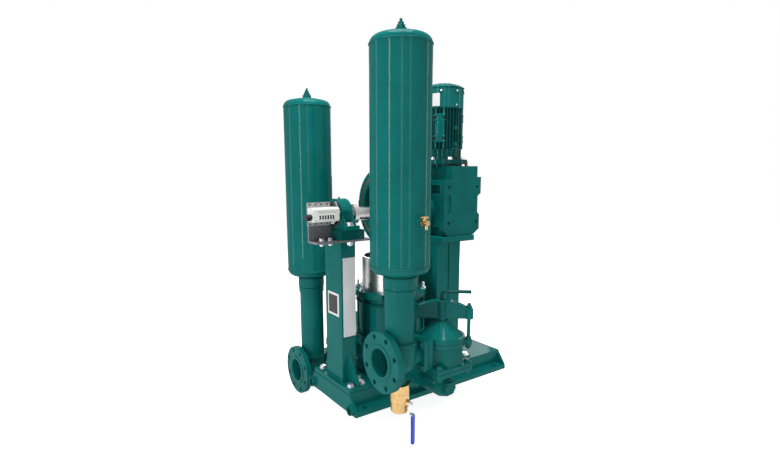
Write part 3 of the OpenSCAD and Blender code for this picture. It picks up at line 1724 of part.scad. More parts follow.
module reducer_cover() {
  recess_w = recess_x1 - recess_x0;
  color(enamel) difference() {
    reducer_prism(-reducer_y, -reducer_y + cover_t);
    translate([(recess_x0 + recess_x1) / 2, -reducer_y - cut, (recess_z0 + recess_z1) / 2])
      along_y() rounded_plate(recess_w, recess_z1 - recess_z0, recess_depth + cut, recess_w / 2 - cut);
    for (p = cover_bolts())
      translate([p[0], -reducer_y - cut, p[1]])
        along_y() cylinder(d = reducer_bolt_d, h = cover_t + 2 * cut);
  }
}

// Motor

module fin_ring() {
  pitch = 360 / fin_count;
  circle(r = fin_core_r);
  for (i = [0:fin_count - 1])
    rotate([0, 0, i * pitch])
      translate([fin_core_r - cut, -fin_t / 2]) square([fin_r - fin_core_r + cut, fin_t]);
}

module motor_frame() {
  color(enamel) translate([motor_x, 0, 0]) difference() {
    union() {
      up(reducer_top) cylinder(r = motor_spigot_r, h = motor_flange_z - reducer_top + cut);
      up(motor_flange_z) cylinder(r = motor_flange_r, h = motor_flange_t);
      up(motor_flange_z) cylinder(r = bell_r, h = bell_top - motor_flange_z + 2 * cut);
      up(fin_bottom) linear_extrude(fin_top - fin_bottom) fin_ring();
      up(fin_top - cut) cylinder(r = fin_r + cowl_wall / 2, h = cowl_z0 - fin_top + cut);
      translate([-terminal_w / 2, fin_core_r, terminal_z]) cube([terminal_w, terminal_d, terminal_h]);
    }
    up(fin_top - fin_core_r)
      cylinder(r = motor_shaft_r + running_fit, h = fin_core_r + 2 * cut);
  }
}

module motor_cowl() {
  color(enamel) translate([motor_x, 0, 0]) {
    up(cowl_z0) tube(cowl_r, cowl_r - cowl_wall, cowl_z1 - cowl_z0);
    difference() {
      up(cowl_z1 - cut) cylinder(r = cowl_r - cowl_wall / 2, h = cowl_rim_z - cowl_z1 + 3 * cut);
      up(cowl_z1 - 2 * cut) cylinder(r = cowl_r - 4 * cowl_wall, h = dome_h);
    }
    up(cowl_rim_z) difference() {
      rotate_extrude($fn = 96) dome_outline(dome_r, dome_h);
      up(-cut)
        rotate_extrude($fn = 96) dome_outline(cowl_r - 4 * cowl_wall, dome_h - 2 * cowl_wall);
    }
  }
}

module dome_outline(r, h) {
  arc_r = (r * r + h * h) / (2 * h);
  intersection() {
    translate([0, h - arc_r]) circle(r = arc_r, $fn = 240);
    square([r, h]);
  }
}

module motor_fan() {
  color(black) translate([motor_x, 0, 0]) {
    up(fin_top - fin_core_r + cut)
      cylinder(r = motor_shaft_r, h = fan_z + fan_h - fin_top + fin_core_r);
    up(fan_z) cylinder(r = fan_hub_r, h = fan_h);
    up(fan_z) cylinder(r = fan_r, h = fan_blade_t);
    for (i = [0:fan_blades - 1])
      rotate([0, 0, i * 360 / fan_blades])
        translate([fan_hub_r - cut, -fan_blade_t / 2, fan_z])
          cube([fan_r - fan_hub_r - cut, fan_blade_t, fan_h]);
  }
}

base_frame();
bearing_column();
anchor_bolts();
name_plates();
bearing_bracket();
bearing_riser();
pillow_block();
bearing_insert();
bearing_bolts();
counter_body();
counter_wheels();
counter_knob();
counter_lever();
pump_cylinder();
packing();
packing_gland();
gland_studs();
plunger();
connecting_rod();
strap_cap();
strap_bolts();
eccentric_bush();
wrist_pin();
eccentric();
crankshaft();
discharge_duct();
suction_duct();
discharge_chamber();
suction_chamber();
discharge_ball();
suction_ball();
discharge_cap();
suction_cap();
discharge_yoke();
suction_yoke();
discharge_screw();
suction_screw();
eye_bolts();
valve_seats();
gaskets();
discharge_tee();
suction_tee();
discharge_riser();
suction_riser();
discharge_air_chamber();
suction_air_chamber();
flange_bolts();
pipe_plugs();
petcock_body();
petcock_handle();
drain_valve_body();
drain_ball();
drain_lever();
drain_grip();
drive_pedestal();
reducer_housing();
reducer_cover();
motor_frame();
motor_cowl();
motor_fan();
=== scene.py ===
import math

import bmesh
import bpy
from mathutils import Matrix, Vector


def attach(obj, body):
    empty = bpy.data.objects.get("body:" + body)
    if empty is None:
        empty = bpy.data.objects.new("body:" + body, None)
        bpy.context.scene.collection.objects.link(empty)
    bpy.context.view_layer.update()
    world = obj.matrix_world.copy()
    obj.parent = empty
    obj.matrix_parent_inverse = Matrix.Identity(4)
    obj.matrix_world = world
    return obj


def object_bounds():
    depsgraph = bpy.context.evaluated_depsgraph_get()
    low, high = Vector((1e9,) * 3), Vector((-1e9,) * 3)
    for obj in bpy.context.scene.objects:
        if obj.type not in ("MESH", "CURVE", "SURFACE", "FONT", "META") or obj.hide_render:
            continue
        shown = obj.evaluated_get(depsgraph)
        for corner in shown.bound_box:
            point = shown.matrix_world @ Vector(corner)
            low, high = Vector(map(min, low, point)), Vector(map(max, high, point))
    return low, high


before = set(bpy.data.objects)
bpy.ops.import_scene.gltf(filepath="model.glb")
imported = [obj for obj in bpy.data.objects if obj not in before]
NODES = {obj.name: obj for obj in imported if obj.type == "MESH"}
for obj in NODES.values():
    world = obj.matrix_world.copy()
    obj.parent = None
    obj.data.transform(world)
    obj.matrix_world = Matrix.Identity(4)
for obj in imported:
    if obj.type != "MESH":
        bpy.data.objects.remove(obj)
cad_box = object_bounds()
scene = bpy.context.scene
MM = 0.001


# Sizes and places of the solids that the detail sits on, in millimetres of the part's frame

BASE_END = 436
BASE_HALF = 196
BASE_HEIGHT = 86
BASE_PLATE = 10
UNDER_DECK = BASE_HEIGHT - BASE_PLATE
DECK_HALF = 154
RAIL_HEIGHT = 22
STUB_Y = 166
STUB_Z = 24
STUB_R = 21
FOOT_TOP = 98

COLUMN_X = -385
COLUMN_HALF_X = 33.5
COLUMN_HALF_Y = 67
COLUMN_TOP = 694
COLUMN_LEFT = COLUMN_X - COLUMN_HALF_X
COLUMN_RIGHT = COLUMN_X + COLUMN_HALF_X
GUSSET_HALF = 5
GUSSET_HEIGHT = 124
GUSSET_REACH = 73
PLATE_FACE_X = -420
PLATE_FACE_Y = -70

SHAFT_Z = 795
SHAFT_LEFT = -434
INSERT_HALF = 22
PILLOW_TOP = 860.5
COLLAR_X = -320
COLLAR_R = 41.4

LINE_X = -334
DISCHARGE_Y = -347
SUCTION_Y = 372
AIR_DROP = 129
AIR_BOTTOM = 635
AIR_TOP = 1395
AIR_R = 109.6
AIR_PLUG_Z = 1435.5
AIR_PLUG_R = 20.5

PUMP_X = -126
STUD_COUNT = 8
STUD_CIRCLE = 148.8
STUD_NUT_Z = 0.455
DISCHARGE_Z = 281
CHAMBER_DROP = 122
YOKE_ANGLE = -40
YOKE_REACH = 106

COUNTER_X = -488
COUNTER_Z = 805
COUNTER_FRONT = -82
WINDOW_LEFT = COLUMN_X - 137
WINDOW_RIGHT = COLUMN_X - 68
WHEEL_COUNT = 6
WHEEL_PITCH = (WINDOW_RIGHT - WINDOW_LEFT) / WHEEL_COUNT
WHEEL_Y = -64
WHEEL_Z = COUNTER_Z - 9
WHEEL_R = 14
KNOB_X = -548

PEDESTAL_BOXES = ((55, 122), (128, 195))
PEDESTAL_HALF = 110
PEDESTAL_TOP = 654
REDUCER_FRONT = -125
REDUCER_BACK = 125
REDUCER_RIGHT = 302
REDUCER_TOP = 994
REDUCER_HUB_X = 51
REDUCER_REAR_X = 305

MOTOR_X = 174
MOTOR_VIEW = -132
MOTOR_FLANGE_Z = 1023
MOTOR_BOLT_CIRCLE = 103
CORE_R = 76
FIN_R = 90.5
COWL_R = 93
COWL_DOME_Z = 1342
COWL_SCREW_Z = 1324


# Materials

BEVEL_SAMPLES = 4


def new_material(name):
    mat = bpy.data.materials.new(name)
    mat.use_nodes = True
    tree = mat.node_tree
    return mat, tree, tree.nodes["Principled BSDF"]


def node(tree, kind, **values):
    """Adds a node and sets its sockets and properties by name."""
    n = tree.nodes.new(kind)
    for key, value in values.items():
        if key in n.inputs:
            n.inputs[key].default_value = value
        else:
            setattr(n, key, value)
    return n


def noise(tree, scale, detail=3.0, stretch=None):
    """Noise in the object's own coordinates, with a grain where a stretch is given."""
    place = tree.nodes.new("ShaderNodeTexCoord").outputs["Object"]
    if stretch:
        mapping = node(tree, "ShaderNodeMapping", Scale=stretch)
        tree.links.new(place, mapping.inputs["Vector"])
        place = mapping.outputs["Vector"]
    n = node(tree, "ShaderNodeTexNoise", Scale=scale, Detail=detail)
    tree.links.new(place, n.inputs["Vector"])
    return n.outputs["Fac"]


def ramp(tree, source, c0, c1, low=0.3, high=0.7):
    """Blends two colours over a stretch of a value between 0 and 1."""
    r = tree.nodes.new("ShaderNodeValToRGB")
    r.color_ramp.elements[0].position = low
    r.color_ramp.elements[1].position = high
    r.color_ramp.elements[0].color = c0
    r.color_ramp.elements[1].color = c1
    tree.links.new(source, r.inputs["Fac"])
    return r.outputs["Color"]


def grey(v):
    return (v, v, v, 1.0)


def darker(colour, share):
    return tuple(share * c for c in colour[:3]) + (1,)


def rounded(tree, radius):
    """Normal that softens every edge by a radius in metres."""
    bevel = node(tree, "ShaderNodeBevel", Radius=radius, samples=BEVEL_SAMPLES)
    return bevel.outputs["Normal"]


def relief(tree, height, strength, edge):
    """Normal with fine relief over softened edges."""
    bump = node(tree, "ShaderNodeBump", Strength=strength, Distance=MM)
    tree.links.new(height, bump.inputs["Height"])
    tree.links.new(rounded(tree, edge), bump.inputs["Normal"])
    return bump.outputs["Normal"]


def beyond(tree, axis, limit):
    """1 where the object's coordinate on an axis is past a limit in metres, else 0."""
    coord = tree.nodes.new("ShaderNodeTexCoord")
    split = tree.nodes.new("ShaderNodeSeparateXYZ")
    tree.links.new(coord.outputs["Object"], split.inputs[0])
    past = node(tree, "ShaderNodeMath", operation="GREATER_THAN")
    past.inputs[1].default_value = limit
    tree.links.new(split.outputs[axis], past.inputs[0])
    return past.outputs[0]


def mixed(tree, share, first, second):
    mix = tree.nodes.new("ShaderNodeMixRGB")
    tree.links.new(share, mix.inputs["Fac"])
    tree.links.new(first, mix.inputs["Color1"])
    tree.links.new(second, mix.inputs["Color2"])
    return mix.outputs["Color"]


def painted(name, base, dark, rough=(0.22, 0.36), coat=0.14, bump=0.035, edge=0.0028):
    """Glossy enamel over castings and plate: orange peel, faint colour drift and softened edges."""
    mat, tree, bsdf = new_material(name)
    colour = ramp(tree, noise(tree, 9.0, 4.0), dark, base)
    gloss = ramp(tree, noise(tree, 26.0), grey(rough[0]), grey(rough[1]), high=0.75)
    normal = relief(tree, noise(tree, 420.0, 2.0), bump, edge)
    tree.links.new(colour, bsdf.inputs["Base Color"])
    tree.links.new(gloss, bsdf.inputs["Roughness"])
    tree.links.new(normal, bsdf.inputs["Normal"])
    tree.links.new(normal, bsdf.inputs["Coat Normal"])
    bsdf.inputs["Specular IOR Level"].default_value = 0.0
    bsdf.inputs["Coat Weight"].default_value = coat
    bsdf.inputs["Coat Roughness"].default_value = 0.05
    return mat


def metal(name, base, dark, rough=(0.22, 0.4), grain=(40.0, 40.0, 40.0), bump=0.04):
    """Bare metal with a grain stretched along one way, handling marks and softened edges."""
    mat, tree, bsdf = new_material(name)
    marks = noise(tree, 4.0, 6.0, grain)
    colour = ramp(tree, marks, dark, base, 0.25, 0.75)
    gloss = ramp(tree, marks, grey(rough[1]), grey(rough[0]), 0.2, 0.8)
    tree.links.new(colour, bsdf.inputs["Base Color"])
    tree.links.new(gloss, bsdf.inputs["Roughness"])
    tree.links.new(relief(tree, marks, bump, 0.0005), bsdf.inputs["Normal"])
    bsdf.inputs["Metallic"].default_value = 1.0
    return mat


def moulded(name, base, dark, rough=(0.35, 0.55), scale=180.0):
    """Rubber or plastic with a fine moulded texture."""
    mat, tree, bsdf = new_material(name)
    fine = noise(tree, scale)
    colour = ramp(tree, fine, dark, base)
    gloss = ramp(tree, fine, grey(rough[0]), grey(rough[1]))
    tree.links.new(colour, bsdf.inputs["Base Color"])
    tree.links.new(gloss, bsdf.inputs["Roughness"])
    tree.links.new(relief(tree, fine, 0.08, 0.0008), bsdf.inputs["Normal"])
    bsdf.inputs["Specular IOR Level"].default_value = 0.2
    return mat


def two_tone(name, split_y, front, back):
    """Light moulded case in front of a darker plate, told apart by depth."""
    mat, tree, bsdf = new_material(name)
    fine = noise(tree, 140.0)
    case = ramp(tree, fine, darker(front, 0.88), front)
    plate = ramp(tree, fine, darker(back, 0.7), back)
    gloss = ramp(tree, fine, grey(0.34), grey(0.5))
    tree.links.new(mixed(tree, beyond(tree, "Y", split_y), case, plate), bsdf.inputs["Base Color"])
    tree.links.new(gloss, bsdf.inputs["Roughness"])
    tree.links.new(relief(tree, fine, 0.06, 0.0008), bsdf.inputs["Normal"])
    return mat


def painted_with_bright_nuts(name, split_z, paint, bright):
    """Painted rods whose upper nuts are bare zinc-plated steel, told apart by height."""
    mat, tree, bsdf = new_material(name)
    above = beyond(tree, "Z", split_z)
    drift = noise(tree, 40.0, 4.0)
    low = ramp(tree, drift, darker(paint, 0.82), paint)
    high = ramp(tree, drift, darker(bright, 0.75), bright)
    gloss = ramp(tree, drift, grey(0.28), grey(0.42))
    tree.links.new(mixed(tree, above, low, high), bsdf.inputs["Base Color"])
    tree.links.new(above, bsdf.inputs["Metallic"])
    tree.links.new(gloss, bsdf.inputs["Roughness"])
    tree.links.new(rounded(tree, 0.0008), bsdf.inputs["Normal"])
    bsdf.inputs["Specular IOR Level"].default_value = 0.1
    return mat


TEAL = (0.0030, 0.132, 0.123, 1)
CASE_GREY = (0.74, 0.74, 0.71, 1)
PLATE_GREY = (0.40, 0.40, 0.39, 1)
NUT_ZINC = (0.62, 0.63, 0.65, 1)

ENAMEL = painted("enamel", TEAL, (0.0024, 0.112, 0.104, 1))
CASTING = painted("enamel_casting", (0.0030, 0.134, 0.124, 1), (0.0022, 0.102, 0.095, 1),
                  rough=(0.26, 0.42), bump=0.10, edge=0.005)
# Darker copy of the teal enamel: painted shade on the riser under the pillow block, the valve screws, the
# grease nipple, the centre marks and the lifting eye.
SHADED_ENAMEL = painted("enamel_dark", (0.0025, 0.074, 0.069, 1), (0.0018, 0.056, 0.052, 1))
# Darker copy of the teal enamel for the finned motor frame: painted shade for the deep gaps between the
# fins.
FINNED_SHADED = painted("enamel_finned_shade", (0.0022, 0.080, 0.075, 1), (0.0015, 0.055, 0.051, 1), coat=0.12)
STUDS = painted_with_bright_nuts("enamel_studs", STUD_NUT_Z, TEAL, NUT_ZINC)
STEEL = metal("bright_steel", (0.46, 0.46, 0.45, 1), (0.30, 0.30, 0.30, 1), grain=(6.0, 6.0, 60.0))
SHAFT = metal("ground_steel", (0.50, 0.50, 0.50, 1), (0.36, 0.36, 0.36, 1), grain=(90.0, 6.0, 6.0))
ZINC = metal("zinc_steel", (0.66, 0.67, 0.69, 1), (0.48, 0.49, 0.51, 1),
             rough=(0.3, 0.5), grain=(14.0, 14.0, 14.0))
BRASS = metal("cast_brass", (0.54, 0.36, 0.165, 1), (0.37, 0.235, 0.10, 1),
              rough=(0.24, 0.42), grain=(22.0, 22.0, 22.0), bump=0.12)
BRONZE = metal("bronze", (0.20, 0.13, 0.09, 1), (0.11, 0.07, 0.05, 1),
               rough=(0.4, 0.6), grain=(10.0, 10.0, 10.0))
RUBBER = moulded("packing_rubber", (0.03, 0.03, 0.03, 1), (0.018, 0.018, 0.018, 1), rough=(0.6, 0.8))
# Black plastic, also given to the black discs that are painted shade in holes.
BLACK = moulded("black_plastic", (0.017, 0.018, 0.018, 1), (0.009, 0.010, 0.010, 1))
CASE = painted("counter_grey", CASE_GREY, (0.66, 0.66, 0.63, 1),
               rough=(0.35, 0.5), coat=0.1, edge=0.0006)
CASE_AND_PLATE = two_tone("counter_case_and_plate", -0.0325, CASE_GREY, PLATE_GREY)
DIGIT = painted("digit_ink", (0.55, 0.55, 0.54, 1), (0.48, 0.48, 0.47, 1),
                rough=(0.5, 0.6), coat=0.0, edge=0.0002)
PLATE_DARK = metal("bracket_plate", (0.20, 0.20, 0.21, 1), (0.13, 0.13, 0.14, 1),
                   rough=(0.42, 0.6), grain=(20.0, 20.0, 20.0))
WHITE = painted("plate_white", (0.72, 0.73, 0.73, 1), (0.64, 0.65, 0.66, 1),
                rough=(0.3, 0.45), coat=0.15, edge=0.0005)
PLATE = metal("plate_aluminium", (0.66, 0.66, 0.66, 1), (0.5, 0.5, 0.5, 1), grain=(4.0, 90.0, 4.0))
BLUE = moulded("grip_vinyl", (0.035, 0.055, 0.52, 1), (0.028, 0.042, 0.42, 1),
               rough=(0.28, 0.4), scale=90.0)

FINISH = {
    ENAMEL: "base_frame bearing_column connecting_rod discharge_riser suction_riser "
            "discharge_air_chamber suction_air_chamber flange_bolts eye_bolts drive_pedestal "
            "motor_cowl discharge_duct suction_duct",
    CASTING: "pillow_block pump_cylinder packing_gland strap_cap eccentric discharge_chamber "
             "suction_chamber discharge_cap suction_cap discharge_yoke suction_yoke discharge_tee "
             "suction_tee pipe_plugs reducer_housing reducer_cover",
    # Motor frame in the darker enamel, painted shade between its fins.
    FINNED_SHADED: "motor_frame",
    STUDS: "gland_studs",
    # Parts in the darker enamel, whose colour is painted shade.
    SHADED_ENAMEL: "bearing_riser discharge_screw suction_screw",
    STEEL: "plunger wrist_pin strap_bolts discharge_ball suction_ball drain_ball bearing_insert "
           "counter_lever",
    SHAFT: "crankshaft",
    ZINC: "anchor_bolts bearing_bolts drain_lever",
    CASE_AND_PLATE: "counter_body",
    PLATE_DARK: "bearing_bracket",
    BRASS: "petcock_body petcock_handle drain_valve_body",
    BRONZE: "eccentric_bush valve_seats",
    RUBBER: "packing gaskets",
    BLACK: "counter_wheels counter_knob motor_fan",
    WHITE: "name_plates",
    BLUE: "drain_grip",
}
for material, names in FINISH.items():
    for name in names.split():
        data = NODES[name].data
        data.materials.clear()
        data.materials.append(material)


# Camera, light and floor

PHOTO_WIDTH = 780
PHOTO_HEIGHT = 450
SENSOR_WIDTH = 36.0
FOCAL_PX = 485.25
CENTRE_PX = (378.72, 246.8)
CAM_AT = (-1.3831, -1.7321, 0.9661)
CAM_RIGHT = (0.822952, -0.568105, -0.002630)
CAM_UP = (0.088099, 0.123042, 0.988483)
CAM_FORWARD = (0.561238, 0.813706, -0.151307)


def add_camera():
    cam = bpy.data.cameras.new("view")
    cam.sensor_fit = "HORIZONTAL"
    cam.sensor_width = SENSOR_WIDTH
    cam.lens = SENSOR_WIDTH * FOCAL_PX / PHOTO_WIDTH
    cam.shift_x = (PHOTO_WIDTH / 2 - CENTRE_PX[0]) / PHOTO_WIDTH
    cam.shift_y = (CENTRE_PX[1] - PHOTO_HEIGHT / 2) / PHOTO_WIDTH
    cam.clip_start = 0.05
    cam.clip_end = 60.0
    obj = bpy.data.objects.new("view", cam)
    scene.collection.objects.link(obj)
    turn = Matrix((CAM_RIGHT, CAM_UP, [-x for x in CAM_FORWARD])).transposed().to_4x4()
    obj.matrix_world = Matrix.Translation(Vector(CAM_AT)) @ turn
    scene.camera = obj


# Lamps: places and sizes in metres, power in watts, azimuth in degrees round the part's middle
STRIP_MIDDLE = (-0.33, -0.35)
STRIP_DISTANCE = 3.0
STRIP_Z = 1.2
STRIP_AIM_Z = 0.8
STRIP_WIDTH = 0.22
STRIP_HEIGHT = 2.4
STRIPS = (
    ("strip_front", -123, 12),
    ("strip_left", -167, 46),
    ("strip_far_left", 137, 16),
    ("strip_right", -93, 9),
    ("strip_far_right", -17, 18),
)


def area_light(name, at, target, width, height, power):
    light = bpy.data.lights.new(name, "AREA")
    light.shape = "RECTANGLE"
    light.size = width
    light.size_y = height
    light.energy = power
    obj = bpy.data.objects.new(name, light)
    obj.location = at
    obj.rotation_euler = (Vector(target) - Vector(at)).to_track_quat("-Z", "Y").to_euler()
    scene.collection.objects.link(obj)


def add_lamps():
    x, y = STRIP_MIDDLE
    for name, azimuth, power in STRIPS:
        a = math.radians(azimuth)
        at = (x + STRIP_DISTANCE * math.cos(a), y + STRIP_DISTANCE * math.sin(a), STRIP_Z)
        area_light(name, at, (x, y, STRIP_AIM_Z), STRIP_WIDTH, STRIP_HEIGHT, power)
    area_light("top", (-0.3, -0.3, 3.4), (-0.1, 0.0, 0.0), width=1.6, height=1.6, power=115)
    area_light("back", (2.3, 3.3, 1.6), (0.0, 0.0, 0.6), width=2.6, height=1.4, power=70)


FLOOR_HALF = 14.0
FLOOR_SHADE = 0.82
FLOOR_GLOW = 0.80
FLOOR_DROP = 0.0005
WORLD_SHADE = 0.9
WORLD_STRENGTH = 0.25


def either(tree, first, second):
    n = node(tree, "ShaderNodeMath", operation="MAXIMUM")
    tree.links.new(first, n.inputs[0])
    tree.links.new(second, n.inputs[1])
    return n.outputs[0]


def mixed_shader(tree, share, first, second):
    mix = tree.nodes.new("ShaderNodeMixShader")
    tree.links.new(share, mix.inputs[0])
    tree.links.new(first, mix.inputs[1])
    tree.links.new(second, mix.inputs[2])
    return mix.outputs[0]


def pale(name):
    """Matt pale floor that meets the white background without a line."""
    mat, tree, bsdf = new_material(name)
    bsdf.inputs["Base Color"].default_value = grey(FLOOR_SHADE)
    bsdf.inputs["Roughness"].default_value = 0.9
    bsdf.inputs["Specular IOR Level"].default_value = 0.1
    glow = node(tree, "ShaderNodeEmission", Color=grey(1.0), Strength=FLOOR_GLOW)
    lit = tree.nodes.new("ShaderNodeAddShader")
    tree.links.new(bsdf.outputs[0], lit.inputs[0])
    tree.links.new(glow.outputs[0], lit.inputs[1])
    path = tree.nodes.new("ShaderNodeLightPath")
    seen = either(tree, path.outputs["Is Camera Ray"], path.outputs["Is Glossy Ray"])
    surface = mixed_shader(tree, seen, bsdf.outputs[0], lit.outputs[0])
    tree.links.new(surface, tree.nodes["Material Output"].inputs["Surface"])
    return mat


def add_floor():
    bm = bmesh.new()
    bmesh.ops.create_grid(bm, x_segments=8, y_segments=8, size=FLOOR_HALF)
    mesh = bpy.data.meshes.new("floor")
    bm.to_mesh(mesh)
    bm.free()
    obj = bpy.data.objects.new("floor", mesh)
    obj.location = (0.0, 0.0, cad_box[0][2] - FLOOR_DROP)
    scene.collection.objects.link(obj)
    mesh.materials.append(pale("floor_pale"))


def add_world():
    """Soft grey light on the part, with white where the background or its reflection is seen."""
    world = bpy.data.worlds.new("studio")
    world.use_nodes = True
    scene.world = world
    tree = world.node_tree
    soft = tree.nodes["Background"]
    soft.inputs["Color"].default_value = grey(WORLD_SHADE)
    soft.inputs["Strength"].default_value = WORLD_STRENGTH
    white = node(tree, "ShaderNodeBackground", Color=grey(1.0), Strength=1.0)
    path = tree.nodes.new("ShaderNodeLightPath")
    seen = either(tree, path.outputs["Is Camera Ray"], path.outputs["Is Glossy Ray"])
    seen = either(tree, seen, path.outputs["Is Transmission Ray"])
    surface = mixed_shader(tree, seen, soft.outputs[0], white.outputs[0])
    tree.links.new(surface, tree.nodes["World Output"].inputs["Surface"])


add_camera()
add_lamps()
add_floor()
add_world()


# Tools for small detail: points and heights in millimetres, angles in degrees unless said

FRAME = "frame"
FRONT = (0, -1, 0)
BACK = (0, 1, 0)
LEFT = (-1, 0, 0)
RIGHT = (1, 0, 0)
UP = (0, 0, 1)
DOWN = (0, 0, -1)


def finish_piece(name, bm, mat, body, sharp=35.0):
    """Makes a named piece that rides on a body, with edges sharp past an angle."""
    bmesh.ops.recalc_face_normals(bm, faces=bm.faces)
    mesh = bpy.data.meshes.new(name)
    bm.to_mesh(mesh)
    bm.free()
    mesh.materials.append(mat)
    for poly in mesh.polygons:
        poly.use_smooth = True
    mesh.set_sharp_from_angle(angle=math.radians(sharp))
    obj = bpy.data.objects.new(name, mesh)
    scene.collection.objects.link(obj)
    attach(obj, body)


def axes(at, along=UP, turn=0.0):
    """Matrix that takes +Z to along, in millimetres, at a point of the part's frame."""
    aim = Vector(UP).rotation_difference(Vector(along)).to_matrix().to_4x4()
    spin = Matrix.Rotation(math.radians(turn), 4, "Z")
    return Matrix.Translation(Vector(at) * MM) @ aim @ spin @ Matrix.Scale(MM, 4)


def angles(count):
    """Angles in radians, evenly round a full turn."""
    return [2 * math.pi * i / count for i in range(count)]


def bridge(bm, a, b):
    """Quads between two closed rings of as many points."""
    count = len(a)
    for i in range(count):
        j = (i + 1) % count
        bm.faces.new((a[i], a[j], b[j], b[i]))


def lathe(bm, profile, where, segments=32):
    """Revolves (radius, height) points round the local Z."""
    rings = []
    for r, z in profile:
        if r < 1e-6:
            rings.append([bm.verts.new(where @ Vector((0, 0, z)))])
        else:
            rings.append([bm.verts.new(where @ Vector((r * math.cos(a), r * math.sin(a), z)))
                          for a in angles(segments)])
    for a, b in zip(rings, rings[1:]):
        if len(b) > 1:
            bridge(bm, a, b)
            continue
        for i in range(segments):
            bm.faces.new((a[i], a[(i + 1) % segments], b[0]))


def prism(bm, outline, z0, z1, where, inset=0.0):
    """Straight-sided solid on a closed outline, with a chamfer round the far face when inset is given."""
    count = len(outline)
    cx = sum(p[0] for p in outline) / count
    cy = sum(p[1] for p in outline) / count
    half = max(max(abs(p[0] - cx), abs(p[1] - cy)) for p in outline)
    rows = [(z0, 1.0), (z1, 1.0)]
    if inset:
        rows = [(z0, 1.0), (z1 - inset, 1.0), (z1, 1.0 - inset / half)]
    rings = [[bm.verts.new(where @ Vector((cx + (x - cx) * s, cy + (y - cy) * s, z))) for x, y in outline]
             for z, s in rows]
    for a, b in zip(rings, rings[1:]):
        bridge(bm, a, b)
    bm.faces.new(list(reversed(rings[0])))
    bm.faces.new(rings[-1])


def rect(w, h, x=0.0):
    return [(x - w / 2, -h / 2), (x + w / 2, -h / 2), (x + w / 2, h / 2), (x - w / 2, h / 2)]


def round_rect(w, h, r, steps=6):
    across = w / 2 - r
    upward = h / 2 - r
    pts = []
    corners = ((across, upward), (-across, upward), (-across, -upward), (across, -upward))
    for quarter, (cx, cy) in enumerate(corners):
        for i in range(steps + 1):
            a = math.radians(90 * quarter + 90.0 * i / steps)
            pts.append((cx + r * math.cos(a), cy + r * math.sin(a)))
    return pts


def hexagon(across_flats):
    r = across_flats / 2 / math.cos(math.pi / 6)
    return [(r * math.cos(a), r * math.sin(a)) for a in angles(6)]


def thread(bm, where, r, z0, z1, pitch):
    """Real helix between two heights, with chamfered ends."""
    depth = 0.6 * pitch
    seg = 24
    rows_per_turn = 4
    rows = int(math.ceil((z1 - z0) / pitch * rows_per_turn)) + rows_per_turn + 1
    grid = []
    for k in range(rows):
        ring = []
        for i in range(seg + 1):
            z = z0 + (k - rows_per_turn) * pitch / rows_per_turn + pitch * i / seg
            z = min(max(z, z0), z1)
            crest = r if k % rows_per_turn in (0, 1) else r - depth
            chamfered = r - max(0.0, depth - min(z - z0, z1 - z))
            rr = min(crest, chamfered)
            a = 2 * math.pi * i / seg
            ring.append(bm.verts.new(where @ Vector((rr * math.cos(a), rr * math.sin(a), z))))
        grid.append(ring)
    for a, b in zip(grid, grid[1:]):
        for i in range(seg):
            bm.faces.new((a[i], a[i + 1], b[i + 1], b[i]))
    top = bm.verts.new(where @ Vector((0, 0, z1)))
    for i in range(seg):
        bm.faces.new((grid[-1][i], grid[-1][i + 1], top))
    bmesh.ops.remove_doubles(bm, verts=bm.verts, dist=1e-6)


def bead(bm, points, r, pitch=5.0, closed=False, sides=8):
    """Weld bead with ripples along a line of points."""
    pts = [Vector(p) for p in points]
    if closed:
        pts.append(pts[0])
    path = []
    for a, b in zip(pts, pts[1:]):
        steps = max(1, int((b - a).length / (pitch / 3)))
        path += [a + (b - a) * i / steps for i in range(steps)]
    if not closed:
        path.append(pts[-1])
    rings = []
    count = len(path)
    for k, p in enumerate(path):
        if closed:
            along = path[(k + 1) % count] - path[k - 1]
        else:
            along = path[min(k + 1, count - 1)] - path[max(k - 1, 0)]
        along.normalize()
        if abs(along.z) > 0.9:
            side = along.orthogonal().normalized()
        else:
            side = along.cross(Vector(UP)).normalized()
        up = side.cross(along).normalized()
        ripple = 1.0 + 0.13 * math.sin(2 * math.pi * k / 3.0) + 0.06 * math.sin(k * 0.7)
        size = r * ripple
        if not closed and k in (0, count - 1):
            size *= 0.4
        rings.append([bm.verts.new((p + (side * math.cos(a) + up * math.sin(a)) * size) * MM)
                      for a in angles(sides)])
    for a, b in zip(rings, rings[1:]):
        bridge(bm, a, b)
    if closed:
        bridge(bm, rings[-1], rings[0])
    else:
        bm.faces.new(list(reversed(rings[0])))
        bm.faces.new(rings[-1])


def motor_patch(bm, radii, middle, half, heights, steps):
    """Curved slab round the motor's axis: between two radii and two heights, to each side of an angle."""
    r0, r1 = radii
    z0, z1 = heights
    section = ((r0, z0), (r1, z0), (r1, z1), (r0, z1))
    a0 = middle - half
    a1 = middle + half
    rows = []
    for i in range(steps + 1):
        a = math.radians(a0 + (a1 - a0) * i / steps)
        row = []
        for r, z in section:
            point = Vector((MOTOR_X + r * math.cos(a), r * math.sin(a), z))
            row.append(bm.verts.new(point * MM))
        rows.append(row)
    for a, b in zip(rows, rows[1:]):
        bridge(bm, a, b)
    bm.faces.new(list(reversed(rows[0])))
    bm.faces.new(rows[-1])


def circle_points(cx, cy, z, r, count):
    return [(cx + r * math.cos(a), cy + r * math.sin(a), z) for a in angles(count)]


def box_points(x0, x1, y0, y1, z):
    return [(x0, y0, z), (x1, y0, z), (x1, y1, z), (x0, y1, z)]


def pan_screw(bm, where, r, h):
    """Domed screw head."""
    dome = ((1, 0), (1, 0.35), (0.9, 0.7), (0.62, 0.95), (0.3, 1), (0, 1))
    lathe(bm, [(r * across, h * up) for across, up in dome], where, segments=20)


